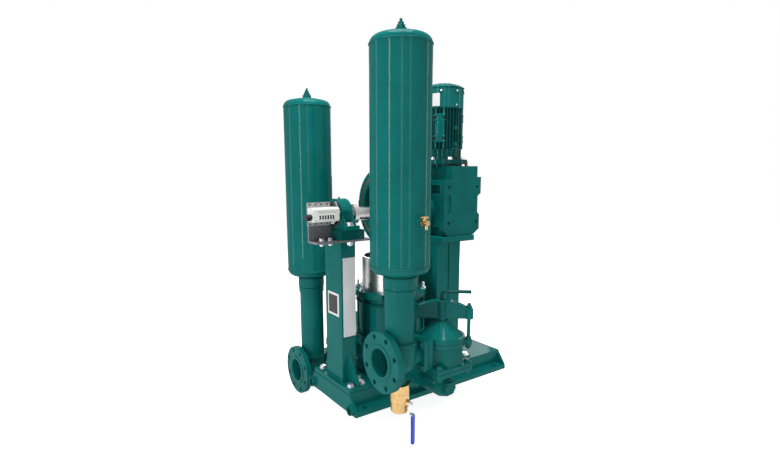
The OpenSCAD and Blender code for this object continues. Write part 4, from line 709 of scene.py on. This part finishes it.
def socket_screw(bm, where, r, h):
    """Cap screw with a hexagon socket."""
    seg = 28
    rim_r = r * 0.6
    lathe(bm, [(r, 0), (r, h - 0.6), (r - 0.6, h), (rim_r, h)], where, seg)
    socket = hexagon(r)
    deep = [bm.verts.new(where @ Vector((x, y, h * 0.4))) for x, y in socket]
    top = [bm.verts.new(where @ Vector((x, y, h))) for x, y in socket]
    bridge(bm, top, deep)
    bm.faces.new(deep)
    rim = [bm.verts.new(where @ Vector((rim_r * math.cos(a), rim_r * math.sin(a), h)))
           for a in angles(seg)]

    def nearest(v):
        return min(top, key=lambda corner: (corner.co - v.co).length)

    for k in range(seg):
        here = rim[k]
        after = rim[(k + 1) % seg]
        corner = nearest(here)
        next_corner = nearest(after)
        if corner == next_corner:
            bm.faces.new((here, after, corner))
        else:
            bm.faces.new((here, after, next_corner, corner))


def hex_bolt(bm, where, across_flats, h):
    """Hexagon head with a chamfered crown and a washer face."""
    washer_r = across_flats * 0.46
    lathe(bm, [(washer_r, -0.6), (washer_r, 0.2)], where, segments=24)
    prism(bm, hexagon(across_flats), 0.2, h, where, inset=across_flats * 0.07)


# Welds on the base, the columns and the pipework

WELD_OFF = 0.5
FOOT_BEAD = 3.2
GUSSET_BEAD = 2.6
HEAD_BEAD = 2.0
RAIL_BEAD = 3.4
CORNER_BEAD = 2.0
WEB_END_BEAD = 2.2
END_PLATE_BEAD = 2.6
STUB_BEAD = 2.4
AIR_BEAD = 2.4
AIR_BEAD_PITCH = 6.0
PLUG_BEAD = 2.2


def add_column_welds():
    bm = bmesh.new()
    foot_z = FOOT_TOP + WELD_OFF
    foot = box_points(COLUMN_LEFT, COLUMN_RIGHT, -COLUMN_HALF_Y, COLUMN_HALF_Y, foot_z)
    bead(bm, foot, FOOT_BEAD, closed=True)
    for s in (-1, 1):
        face = s * COLUMN_HALF_Y
        for x in (COLUMN_X - GUSSET_HALF, COLUMN_X + GUSSET_HALF):
            bead(bm, [(x, face, FOOT_TOP + GUSSET_HEIGHT), (x, face, FOOT_TOP + 1)], GUSSET_BEAD)
            bead(bm, [(x, face + s, foot_z), (x, face + s * GUSSET_REACH, foot_z)], GUSSET_BEAD)
    front = -COLUMN_HALF_Y
    bead(bm, [(COLUMN_LEFT + 0.5, front, COLUMN_TOP), (COLUMN_RIGHT - 0.5, front, COLUMN_TOP)], HEAD_BEAD)
    bead(bm, [(COLUMN_LEFT, front + 1, COLUMN_TOP), (COLUMN_LEFT, -front - 1, COLUMN_TOP)], HEAD_BEAD)
    for x0, x1 in PEDESTAL_BOXES:
        for z in (foot_z, PEDESTAL_TOP + WELD_OFF):
            bead(bm, box_points(x0, x1, -PEDESTAL_HALF, PEDESTAL_HALF, z), FOOT_BEAD, closed=True)
    finish_piece("column_welds", bm, ENAMEL, FRAME)


def add_base_welds():
    bm = bmesh.new()
    web_end = BASE_END - 10
    rail_z = RAIL_HEIGHT + WELD_OFF
    for s in (-1, 1):
        web_y = s * (DECK_HALF + WELD_OFF)
        corner_y = s * (DECK_HALF - 1)
        bead(bm, [(-web_end, web_y, rail_z), (web_end, web_y, rail_z)], RAIL_BEAD)
        corner = [(-BASE_END, corner_y, BASE_HEIGHT - 1), (-BASE_END, corner_y, UNDER_DECK + 1)]
        bead(bm, corner, CORNER_BEAD)
        for x in (-BASE_END, BASE_END):
            slope = [(x, s * DECK_HALF, UNDER_DECK), (x, s * (BASE_HALF - 2), RAIL_HEIGHT)]
            bead(bm, slope, WEB_END_BEAD)
            rail_y = s * (BASE_HALF - 1)
            bead(bm, [(x, rail_y, RAIL_HEIGHT - 1), (x, rail_y, 1)], CORNER_BEAD)
    for x in (-BASE_END - WELD_OFF, BASE_END + WELD_OFF):
        bead(bm, [(x, 4 - DECK_HALF, UNDER_DECK), (x, DECK_HALF - 4, UNDER_DECK)], END_PLATE_BEAD)
    stub_r = STUB_R + WELD_OFF
    for s in (-1, 1):
        ring = [(-BASE_END - WELD_OFF, s * STUB_Y + stub_r * math.cos(a), STUB_Z + stub_r * math.sin(a))
                for a in angles(32)]
        bead(bm, ring, STUB_BEAD, closed=True)
    finish_piece("base_welds", bm, ENAMEL, FRAME)


def add_air_chamber_welds():
    bm = bmesh.new()
    for y, drop in ((DISCHARGE_Y, 0), (SUCTION_Y, AIR_DROP)):
        for z in (AIR_BOTTOM - 1, AIR_TOP + 1):
            girth = circle_points(LINE_X, y, z - drop, AIR_R, 96)
            bead(bm, girth, AIR_BEAD, AIR_BEAD_PITCH, closed=True)
        bead(bm, circle_points(LINE_X, y, AIR_PLUG_Z - drop, AIR_PLUG_R, 32), PLUG_BEAD, closed=True)
    finish_piece("air_chamber_welds", bm, ENAMEL, FRAME)


# Screws of the tall plate, rivets and dark bare field of the small plate

TALL_PLATE_X = (-403, -361)
TALL_PLATE_Z = (303, 616)
RIVET_Y = (-40, 40)
RIVET_Z = (381, 468)
FIELD_AT = (PLATE_FACE_X, 1.5, 424.5)
FIELD_WIDTH = 72
FIELD_HEIGHT = 78
FIELD_CORNER = 4


def add_plate_detail():
    bm = bmesh.new()
    for x in TALL_PLATE_X:
        for z in TALL_PLATE_Z:
            pan_screw(bm, axes((x, PLATE_FACE_Y, z), FRONT), r=4.2, h=2.6)
    finish_piece("plate_screws", bm, ZINC, FRAME)
    bm = bmesh.new()
    for y in RIVET_Y:
        for z in RIVET_Z:
            pan_screw(bm, axes((PLATE_FACE_X, y, z), LEFT), r=2.2, h=1.4)
    finish_piece("plate_rivets", bm, PLATE, FRAME)
    bm = bmesh.new()
    field = round_rect(FIELD_WIDTH, FIELD_HEIGHT, FIELD_CORNER)
    prism(bm, field, 0, 0.5, axes(FIELD_AT, LEFT, 90), inset=0.2)
    finish_piece("plate_field", bm, BLACK, FRAME)


# Threads past the nuts of the studs and of the eye bolts

STUD_THREADS = ((466.5, 486.4), (223.6, 229.8))
STUD_THREAD_R = 6.2
STUD_PITCH = 1.75
EYE_THREADS = ((169.2, 178.4), (-4.3, 2.9), (43.2, 60.0))
EYE_THREAD_R = 7.2
EYE_PITCH = 2.0
YOKES = (
    (DISCHARGE_Y, DISCHARGE_Z, YOKE_ANGLE),
    (SUCTION_Y, DISCHARGE_Z - CHAMBER_DROP, YOKE_ANGLE + 90),
)


def add_threads():
    bm = bmesh.new()
    for a in angles(STUD_COUNT):
        at = axes((PUMP_X + STUD_CIRCLE * math.cos(a), STUD_CIRCLE * math.sin(a), 0))
        for z0, z1 in STUD_THREADS:
            thread(bm, at, STUD_THREAD_R, z0, z1, STUD_PITCH)
    finish_piece("stud_threads", bm, STUDS, FRAME, sharp=60)
    bm = bmesh.new()
    for y, z, angle in YOKES:
        for half_turn in (0, 180):
            a = math.radians(angle + half_turn)
            at = axes((PUMP_X + YOKE_REACH * math.cos(a), y + YOKE_REACH * math.sin(a), z))
            for z0, z1 in EYE_THREADS:
                thread(bm, at, EYE_THREAD_R, z0, z1, EYE_PITCH)
    finish_piece("eye_bolt_threads", bm, ENAMEL, FRAME, sharp=60)


# Stroke counter: digits on the wheels, ribbed band, case screws, window bars, knob and the arm's nut

DIGITS = "070041"
DIGIT_SIZE = 10.5
DIGIT_DEPTH = 0.15
RIB_COUNT = 9
RIB_PITCH = 1.7
CASE_RIB = (74, 0.8)
RIB_BOTTOM = COUNTER_Z + 7
SCREW_X = 48
SCREW_Z = 21
WINDOW_BAR = (3.2, 17)
WINDOW_RAIL = (73.4, 1.8)
WINDOW_RAIL_OFF = 8.6
CASE_LIP = (108, 3)
LIP_Z = COUNTER_Z - 24
ARM_NUT_AT = (-426, -68, COUNTER_Z + 6)
KNOB_RIBS = 24
KNOB_RIB_R = 12.2
KNOB = [(10.4, 0), (12.4, 1), (12.4, 13), (11.6, 14.4), (8.2, 15), (8.2, 20), (7.4, 20.8), (0, 20.8)]


def digit(name, text, at, mat, body):
    curve = bpy.data.curves.new(name, "FONT")
    curve.body = text
    curve.size = DIGIT_SIZE * MM
    curve.extrude = DIGIT_DEPTH * MM
    curve.align_x = "CENTER"
    curve.align_y = "CENTER"
    curve.resolution_u = 6
    obj = bpy.data.objects.new(name, curve)
    scene.collection.objects.link(obj)
    obj.matrix_world = Matrix.Translation(Vector(at) * MM) @ Matrix.Rotation(math.radians(90), 4, "X")
    curve.materials.append(mat)
    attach(obj, body)


def add_counter_detail():
    for i, figure in enumerate(DIGITS):
        at = (WINDOW_LEFT + WHEEL_PITCH * (i + 0.5), WHEEL_Y - WHEEL_R - 0.1, WHEEL_Z)
        digit("wheel_digit_%d" % i, figure, at, DIGIT, "counter_reset")
    bm = bmesh.new()
    for i in range(RIB_COUNT):
        at = (COUNTER_X, COUNTER_FRONT - 0.1, RIB_BOTTOM + RIB_PITCH * i)
        prism(bm, rect(*CASE_RIB), 0, 0.5, axes(at, FRONT))
    finish_piece("counter_ribs", bm, CASE, FRAME)
    bm = bmesh.new()
    for z in (COUNTER_Z + SCREW_Z, COUNTER_Z - SCREW_Z):
        for x in (COUNTER_X - SCREW_X, COUNTER_X + SCREW_X):
            pan_screw(bm, axes((x, COUNTER_FRONT + 0.6, z), FRONT), r=2.2, h=1.8)
    finish_piece("counter_screws", bm, STEEL, FRAME)
    bm = bmesh.new()
    for i in range(WHEEL_COUNT + 1):
        at = (WINDOW_LEFT + WHEEL_PITCH * i, COUNTER_FRONT, WHEEL_Z)
        prism(bm, rect(*WINDOW_BAR), 0, 1.0, axes(at, FRONT), inset=0.5)
    for z in (WHEEL_Z - WINDOW_RAIL_OFF, WHEEL_Z + WINDOW_RAIL_OFF):
        at = ((WINDOW_LEFT + WINDOW_RIGHT) / 2, COUNTER_FRONT, z)
        prism(bm, rect(*WINDOW_RAIL), 0, 1.2, axes(at, FRONT), inset=0.4)
    prism(bm, rect(*CASE_LIP), 0, 2.0, axes((COUNTER_X, COUNTER_FRONT, LIP_Z), FRONT), inset=0.8)
    finish_piece("counter_window_frame", bm, CASE, FRAME)
    bm = bmesh.new()
    lathe(bm, KNOB, axes((KNOB_X, WHEEL_Y, WHEEL_Z), LEFT), segments=40)
    for a in angles(KNOB_RIBS):
        at = (KNOB_X - 1.5, WHEEL_Y + KNOB_RIB_R * math.cos(a), WHEEL_Z + KNOB_RIB_R * math.sin(a))
        prism(bm, rect(1.2, 1.3), 0, 11, axes(at, LEFT, math.degrees(a)))
    finish_piece("knob_knurl", bm, BLACK, "counter_reset")
    bm = bmesh.new()
    hex_bolt(bm, axes(ARM_NUT_AT, RIGHT), across_flats=11, h=4)
    finish_piece("counter_arm_nut", bm, ZINC, "counter_arm")


# Pillow block: seal rings and grease nipple; the shaft's end centre and its collar's screw

SEAL = [(49.4, 0), (49.4, 1.2), (47, 1.8), (38, 1.8), (36.2, 0.4)]
NIPPLE = [(5, 0), (5, 2), (3.2, 3), (3.2, 4), (4.2, 5), (3.2, 6.5), (1.6, 7), (0, 7)]
SHAFT_CENTRE = [(27.2, 0), (26.2, 1.0), (6, 1.0), (2, -3), (0, -3)]


def add_bearing_detail():
    bm = bmesh.new()
    for s in (-1, 1):
        lathe(bm, SEAL, axes((COLUMN_X + s * INSERT_HALF, 0, SHAFT_Z), (s, 0, 0)), segments=64)
    finish_piece("bearing_seals", bm, RUBBER, FRAME)
    bm = bmesh.new()
    lathe(bm, NIPPLE, axes((COLUMN_X, 0, PILLOW_TOP)), segments=20)
    # Darker enamel on the nipple: painted shade for the dark spot on top of the pillow block.
    finish_piece("grease_nipple", bm, SHADED_ENAMEL, FRAME)
    bm = bmesh.new()
    lathe(bm, SHAFT_CENTRE, axes((SHAFT_LEFT, 0, SHAFT_Z), LEFT), segments=48)
    socket_screw(bm, axes((COLLAR_X, 0, SHAFT_Z + COLLAR_R)), r=5, h=2.4)
    finish_piece("shaft_end", bm, SHAFT, "crank")


# Gear reducer: centre marks, rims round holes, block bosses, plugs, breather and shaft caps

CENTRE_MARKS = ((128, 745), (264, 745))
HOLE_RIMS = ((108, 901), (282, 901), (108, 739), (282, 739))
BLOCK_BOSSES = ((120, -26, 962), (120, -82, 962))
DRAIN_PLUGS = (
    ((200, REDUCER_BACK, 700), BACK),
    ((250, REDUCER_BACK, 900), BACK),
    ((130, REDUCER_BACK, 900), BACK),
    ((REDUCER_RIGHT, 60, 720), RIGHT),
)
BREATHER_AT = (262, -70, REDUCER_TOP)
LIFTING_EYE_AT = (140, 60, REDUCER_TOP + 36)
CENTRE_MARK = [(3.6, 0), (3.4, 0.5), (2.6, 0.5), (2.4, 0.1)]
HOLE_RIM = [(8.6, 0), (8.2, 0.7), (6.6, 0.7), (6.1, 0.0)]
BLOCK_BOSS = [(9.5, 0), (9.5, 1.4), (8.0, 2.0), (6.4, 2.0), (6.0, 0.4)]
BREATHER_CAP = [(6, 8), (6, 12), (9, 13), (9.5, 18), (8, 22), (0, 23)]
HUB_BOLTS = 6
HUB_BOLT_CIRCLE = 49
HUB_FACE = 4.5
HUB_CAP = [(60, 0), (60, 3), (56, 4.5), (42, 4.5), (41, 2.5), (31, 2.5), (28.2, 1.0)]
REAR_CAP = [(60, -6), (60, 4), (56, 6), (40, 6), (38, 4), (30, 4), (28.2, 2.5)]


def add_reducer_marks():
    bm = bmesh.new()
    for x, z in CENTRE_MARKS:
        lathe(bm, CENTRE_MARK, axes((x, REDUCER_FRONT, z), FRONT), segments=20)
    # Darker enamel on the centre marks: painted shade in their hollows.
    finish_piece("reducer_centre_marks", bm, SHADED_ENAMEL, FRAME)
    bm = bmesh.new()
    for x, z in HOLE_RIMS:
        lathe(bm, HOLE_RIM, axes((x, REDUCER_FRONT, z), FRONT), segments=28)
    finish_piece("reducer_hole_rims", bm, CASTING, FRAME)
    bm = bmesh.new()
    for at in BLOCK_BOSSES:
        lathe(bm, BLOCK_BOSS, axes(at, LEFT), segments=28)
    finish_piece("reducer_block_bosses", bm, CASTING, FRAME)
    # Black discs in the boss holes and the centre marks: painted shade for the depth of the holes.
    bm = bmesh.new()
    for at in BLOCK_BOSSES:
        lathe(bm, [(6.0, 0.3), (0, 0.3)], axes(at, LEFT), segments=28)
    for x, z in CENTRE_MARKS:
        lathe(bm, [(2.4, 0.15), (0, 0.15)], axes((x, REDUCER_FRONT, z), FRONT), segments=20)
    finish_piece("reducer_hole_shade", bm, BLACK, FRAME)


def add_reducer_fittings():
    bm = bmesh.new()
    for at, along in DRAIN_PLUGS:
        lathe(bm, [(15, 0), (15, 3), (13.5, 4)], axes(at, along), segments=28)
        hex_bolt(bm, axes([a + 4 * b for a, b in zip(at, along)], along), across_flats=19, h=7)
    finish_piece("reducer_plugs", bm, CASTING, FRAME)
    bm = bmesh.new()
    seat = axes(BREATHER_AT)
    prism(bm, hexagon(17), 0, 8, seat, inset=0.8)
    lathe(bm, BREATHER_CAP, seat, segments=24)
    finish_piece("breather", bm, BRASS, FRAME)
    bm = bmesh.new()
    hub = axes((REDUCER_HUB_X, 0, SHAFT_Z), LEFT)
    lathe(bm, HUB_CAP, hub, segments=64)
    for i in range(HUB_BOLTS):
        a = math.radians(360 / HUB_BOLTS * (i + 0.5))
        on_face = (HUB_BOLT_CIRCLE * math.cos(a), HUB_BOLT_CIRCLE * math.sin(a), HUB_FACE)
        hex_bolt(bm, hub @ Matrix.Translation(on_face), across_flats=13, h=5)
    finish_piece("reducer_seal_cap", bm, CASTING, FRAME)
    bm = bmesh.new()
    lathe(bm, REAR_CAP, axes((REDUCER_REAR_X, 0, SHAFT_Z), RIGHT), segments=64)
    finish_piece("reducer_rear_cap", bm, CASTING, FRAME)


# Motor: flange bolts, cowl, bare label, pads on the fins, bell ribs, terminal cover and glands

FLANGE_BOLTS = 8
SPOKES = 20
SPOKE_R = (30, 46, 62, 77)
SPOKE_RISE = 24
DOME_FALL = 408.0
EARS = 8
EAR = [(9, -4), (9, 1.6), (7.6, 3), (0, 3)]
LABEL_TURN = -30.5
LABEL_HALF = 21.5
LABEL_Z = (1258, 1313)
SIDES = 4
PAD_HALF = 11
PAD_Z = (1100, 1226)
PAD_TURN = 11.5
PAD_RAIL_Z = (1072, 1250)
PAD_SCREW_Z = (1116, 1208)
LUG_TURN = 49
LUG_Z = (1092, 1164)
FOOT_PAD_Z = (1070, 1076)
BELL_RIBS = 12
BELL_Z = (1024, 1071)
BELL_R = 77
TERMINAL_AT = (MOTOR_X, 110, 1162)
GLAND_Y = 95
GLAND_Z = 1120
GLAND = [(9, 7), (9, 12), (10, 13), (10, 20), (7, 23), (3, 24), (0, 24)]


def on_motor(angle, r, z):
    """Seat that faces outward on the motor."""
    a = math.radians(angle)
    out = (math.cos(a), math.sin(a), 0)
    return axes((MOTOR_X + r * out[0], r * out[1], z), out)


def pad_middle(k):
    """Angle of the middle of one of the pads round the motor."""
    return MOTOR_VIEW - 9 + 360 / SIDES * k


def add_motor_flange_bolts():
    bm = bmesh.new()
    for i in range(FLANGE_BOLTS):
        a = math.radians(360 / FLANGE_BOLTS * (i + 0.5))
        x = MOTOR_X + MOTOR_BOLT_CIRCLE * math.cos(a)
        seat = axes((x, MOTOR_BOLT_CIRCLE * math.sin(a), MOTOR_FLANGE_Z))
        lathe(bm, [(12, 0), (12, 2), (11, 2.4)], seat, segments=24)
        hex_bolt(bm, seat @ Matrix.Translation((0, 0, 2.4)), across_flats=18, h=8)
    finish_piece("motor_flange_bolts", bm, ZINC, FRAME)


def add_cowl_detail():
    bm = bmesh.new()
    for i in range(SPOKES):
        spoke = axes((MOTOR_X, 0, COWL_DOME_Z), UP, 360 / SPOKES * i)
        for r in SPOKE_R:
            z = SPOKE_RISE - r * r / DOME_FALL
            prism(bm, rect(11, 2.6, r), z - 1.2, z + 0.5, spoke)
    finish_piece("cowl_grille", bm, BLACK, FRAME)
    screws = bmesh.new()
    ears = bmesh.new()
    for i in range(EARS):
        angle = MOTOR_VIEW - 5 + 360 / EARS * i
        lathe(ears, EAR, on_motor(angle, COWL_R - 0.6, COWL_SCREW_Z), segments=28)
        pan_screw(screws, on_motor(angle, COWL_R + 2.4, COWL_SCREW_Z), r=4.6, h=2.6)
        if i % 2:
            pan_screw(screws, on_motor(angle, COWL_R, COWL_SCREW_Z - 60), r=3.6, h=2.2)
    finish_piece("cowl_screws", screws, ZINC, FRAME)
    finish_piece("cowl_ears", ears, ENAMEL, FRAME)
    bm = bmesh.new()
    motor_patch(bm, (COWL_R - 0.4, COWL_R + 0.35), MOTOR_VIEW + LABEL_TURN, LABEL_HALF, LABEL_Z, steps=16)
    finish_piece("motor_bare_label", bm, WHITE, FRAME)


def add_motor_pads():
    bm = bmesh.new()
    for k in range(SIDES):
        mid = pad_middle(k)
        motor_patch(bm, (CORE_R, FIN_R + 0.4), mid, PAD_HALF, PAD_Z, steps=10)
        for side in (-1, 1):
            at = mid + PAD_TURN * side
            motor_patch(bm, (CORE_R, FIN_R + 1.6), at, 2.6, PAD_RAIL_Z, steps=3)
            for z in PAD_SCREW_Z:
                for dz in (-11, 11):
                    motor_patch(bm, (CORE_R, COWL_R + 1.5), at, 5, (z + dz - 4, z + dz + 4), steps=4)
        at = mid + LUG_TURN
        for z in LUG_Z:
            motor_patch(bm, (CORE_R, COWL_R + 1.0), at, 4.5, (z - 8, z + 8), steps=4)
        motor_patch(bm, (CORE_R - 2, FIN_R + 1.0), at, 12, FOOT_PAD_Z, steps=6)
    finish_piece("motor_pads", bm, CASTING, FRAME, sharp=30)
    # Black discs on the pads and lugs: painted shade standing for their screw holes.
    bm = bmesh.new()
    for k in range(SIDES):
        mid = pad_middle(k)
        for side in (-1, 1):
            for z in PAD_SCREW_Z:
                seat = on_motor(mid + PAD_TURN * side, FIN_R + 1.6, z)
                lathe(bm, [(5.2, 0), (4.8, 1.2), (0, 1.2)], seat, segments=20)
        for z in LUG_Z:
            seat = on_motor(mid + LUG_TURN, COWL_R + 1.0, z)
            lathe(bm, [(3.4, 0), (3.2, 0.5), (0, 0.5)], seat, segments=20)
    finish_piece("motor_pad_hole_shade", bm, BLACK, FRAME)
    bm = bmesh.new()
    for k in range(BELL_RIBS):
        rib_r = 82 if k % 3 else 86
        motor_patch(bm, (BELL_R, rib_r), MOTOR_VIEW + 360 / BELL_RIBS * k, 2.2, BELL_Z, steps=3)
    finish_piece("motor_bell_ribs", bm, CASTING, FRAME, sharp=30)


def add_terminal_box_detail():
    bm = bmesh.new()
    box = axes(TERMINAL_AT, BACK)
    prism(bm, round_rect(74, 88, 6), 0, 7, box, inset=2)
    for x in (-30, 30):
        for y in (-37, 37):
            socket_screw(bm, box @ Matrix.Translation((x, y, 7)), r=3.6, h=2.6)
    finish_piece("terminal_cover", bm, ENAMEL, FRAME)
    bm = bmesh.new()
    for x in (MOTOR_X - 14, MOTOR_X + 14):
        seat = axes((x, GLAND_Y, GLAND_Z), DOWN)
        prism(bm, hexagon(22), 0, 7, seat, inset=1)
        lathe(bm, GLAND, seat, segments=24)
    finish_piece("cable_glands", bm, BLACK, FRAME)


def add_lifting_eye(name, at, r, wire):
    """Upright ring of round bar on a short shank."""
    bm = bmesh.new()
    centre = Vector(at)
    rings = []
    for a in angles(40):
        ring = []
        for b in angles(14):
            out = r + wire * math.cos(b)
            point = centre + Vector((out * math.cos(a), wire * math.sin(b), out * math.sin(a)))
            ring.append(bm.verts.new(point * MM))
        rings.append(ring)
    for k, ring in enumerate(rings):
        bridge(bm, ring, rings[(k + 1) % len(rings)])
    foot = centre - Vector((0, 0, r + wire + 9))
    lathe(bm, [(12, 0), (12, 4), (8, 7), (7, 12)], axes(foot), segments=24)
    # Darker enamel on the eye: painted shade.
    finish_piece(name, bm, SHADED_ENAMEL, FRAME, sharp=60)


add_column_welds()
add_base_welds()
add_air_chamber_welds()
add_plate_detail()
add_threads()
add_counter_detail()
add_bearing_detail()
add_reducer_marks()
add_reducer_fittings()
add_motor_flange_bolts()
add_cowl_detail()
add_motor_pads()
add_terminal_box_detail()
add_lifting_eye("reducer_lifting_eye", LIFTING_EYE_AT, r=17, wire=5)


scene.view_settings.view_transform = "Standard"
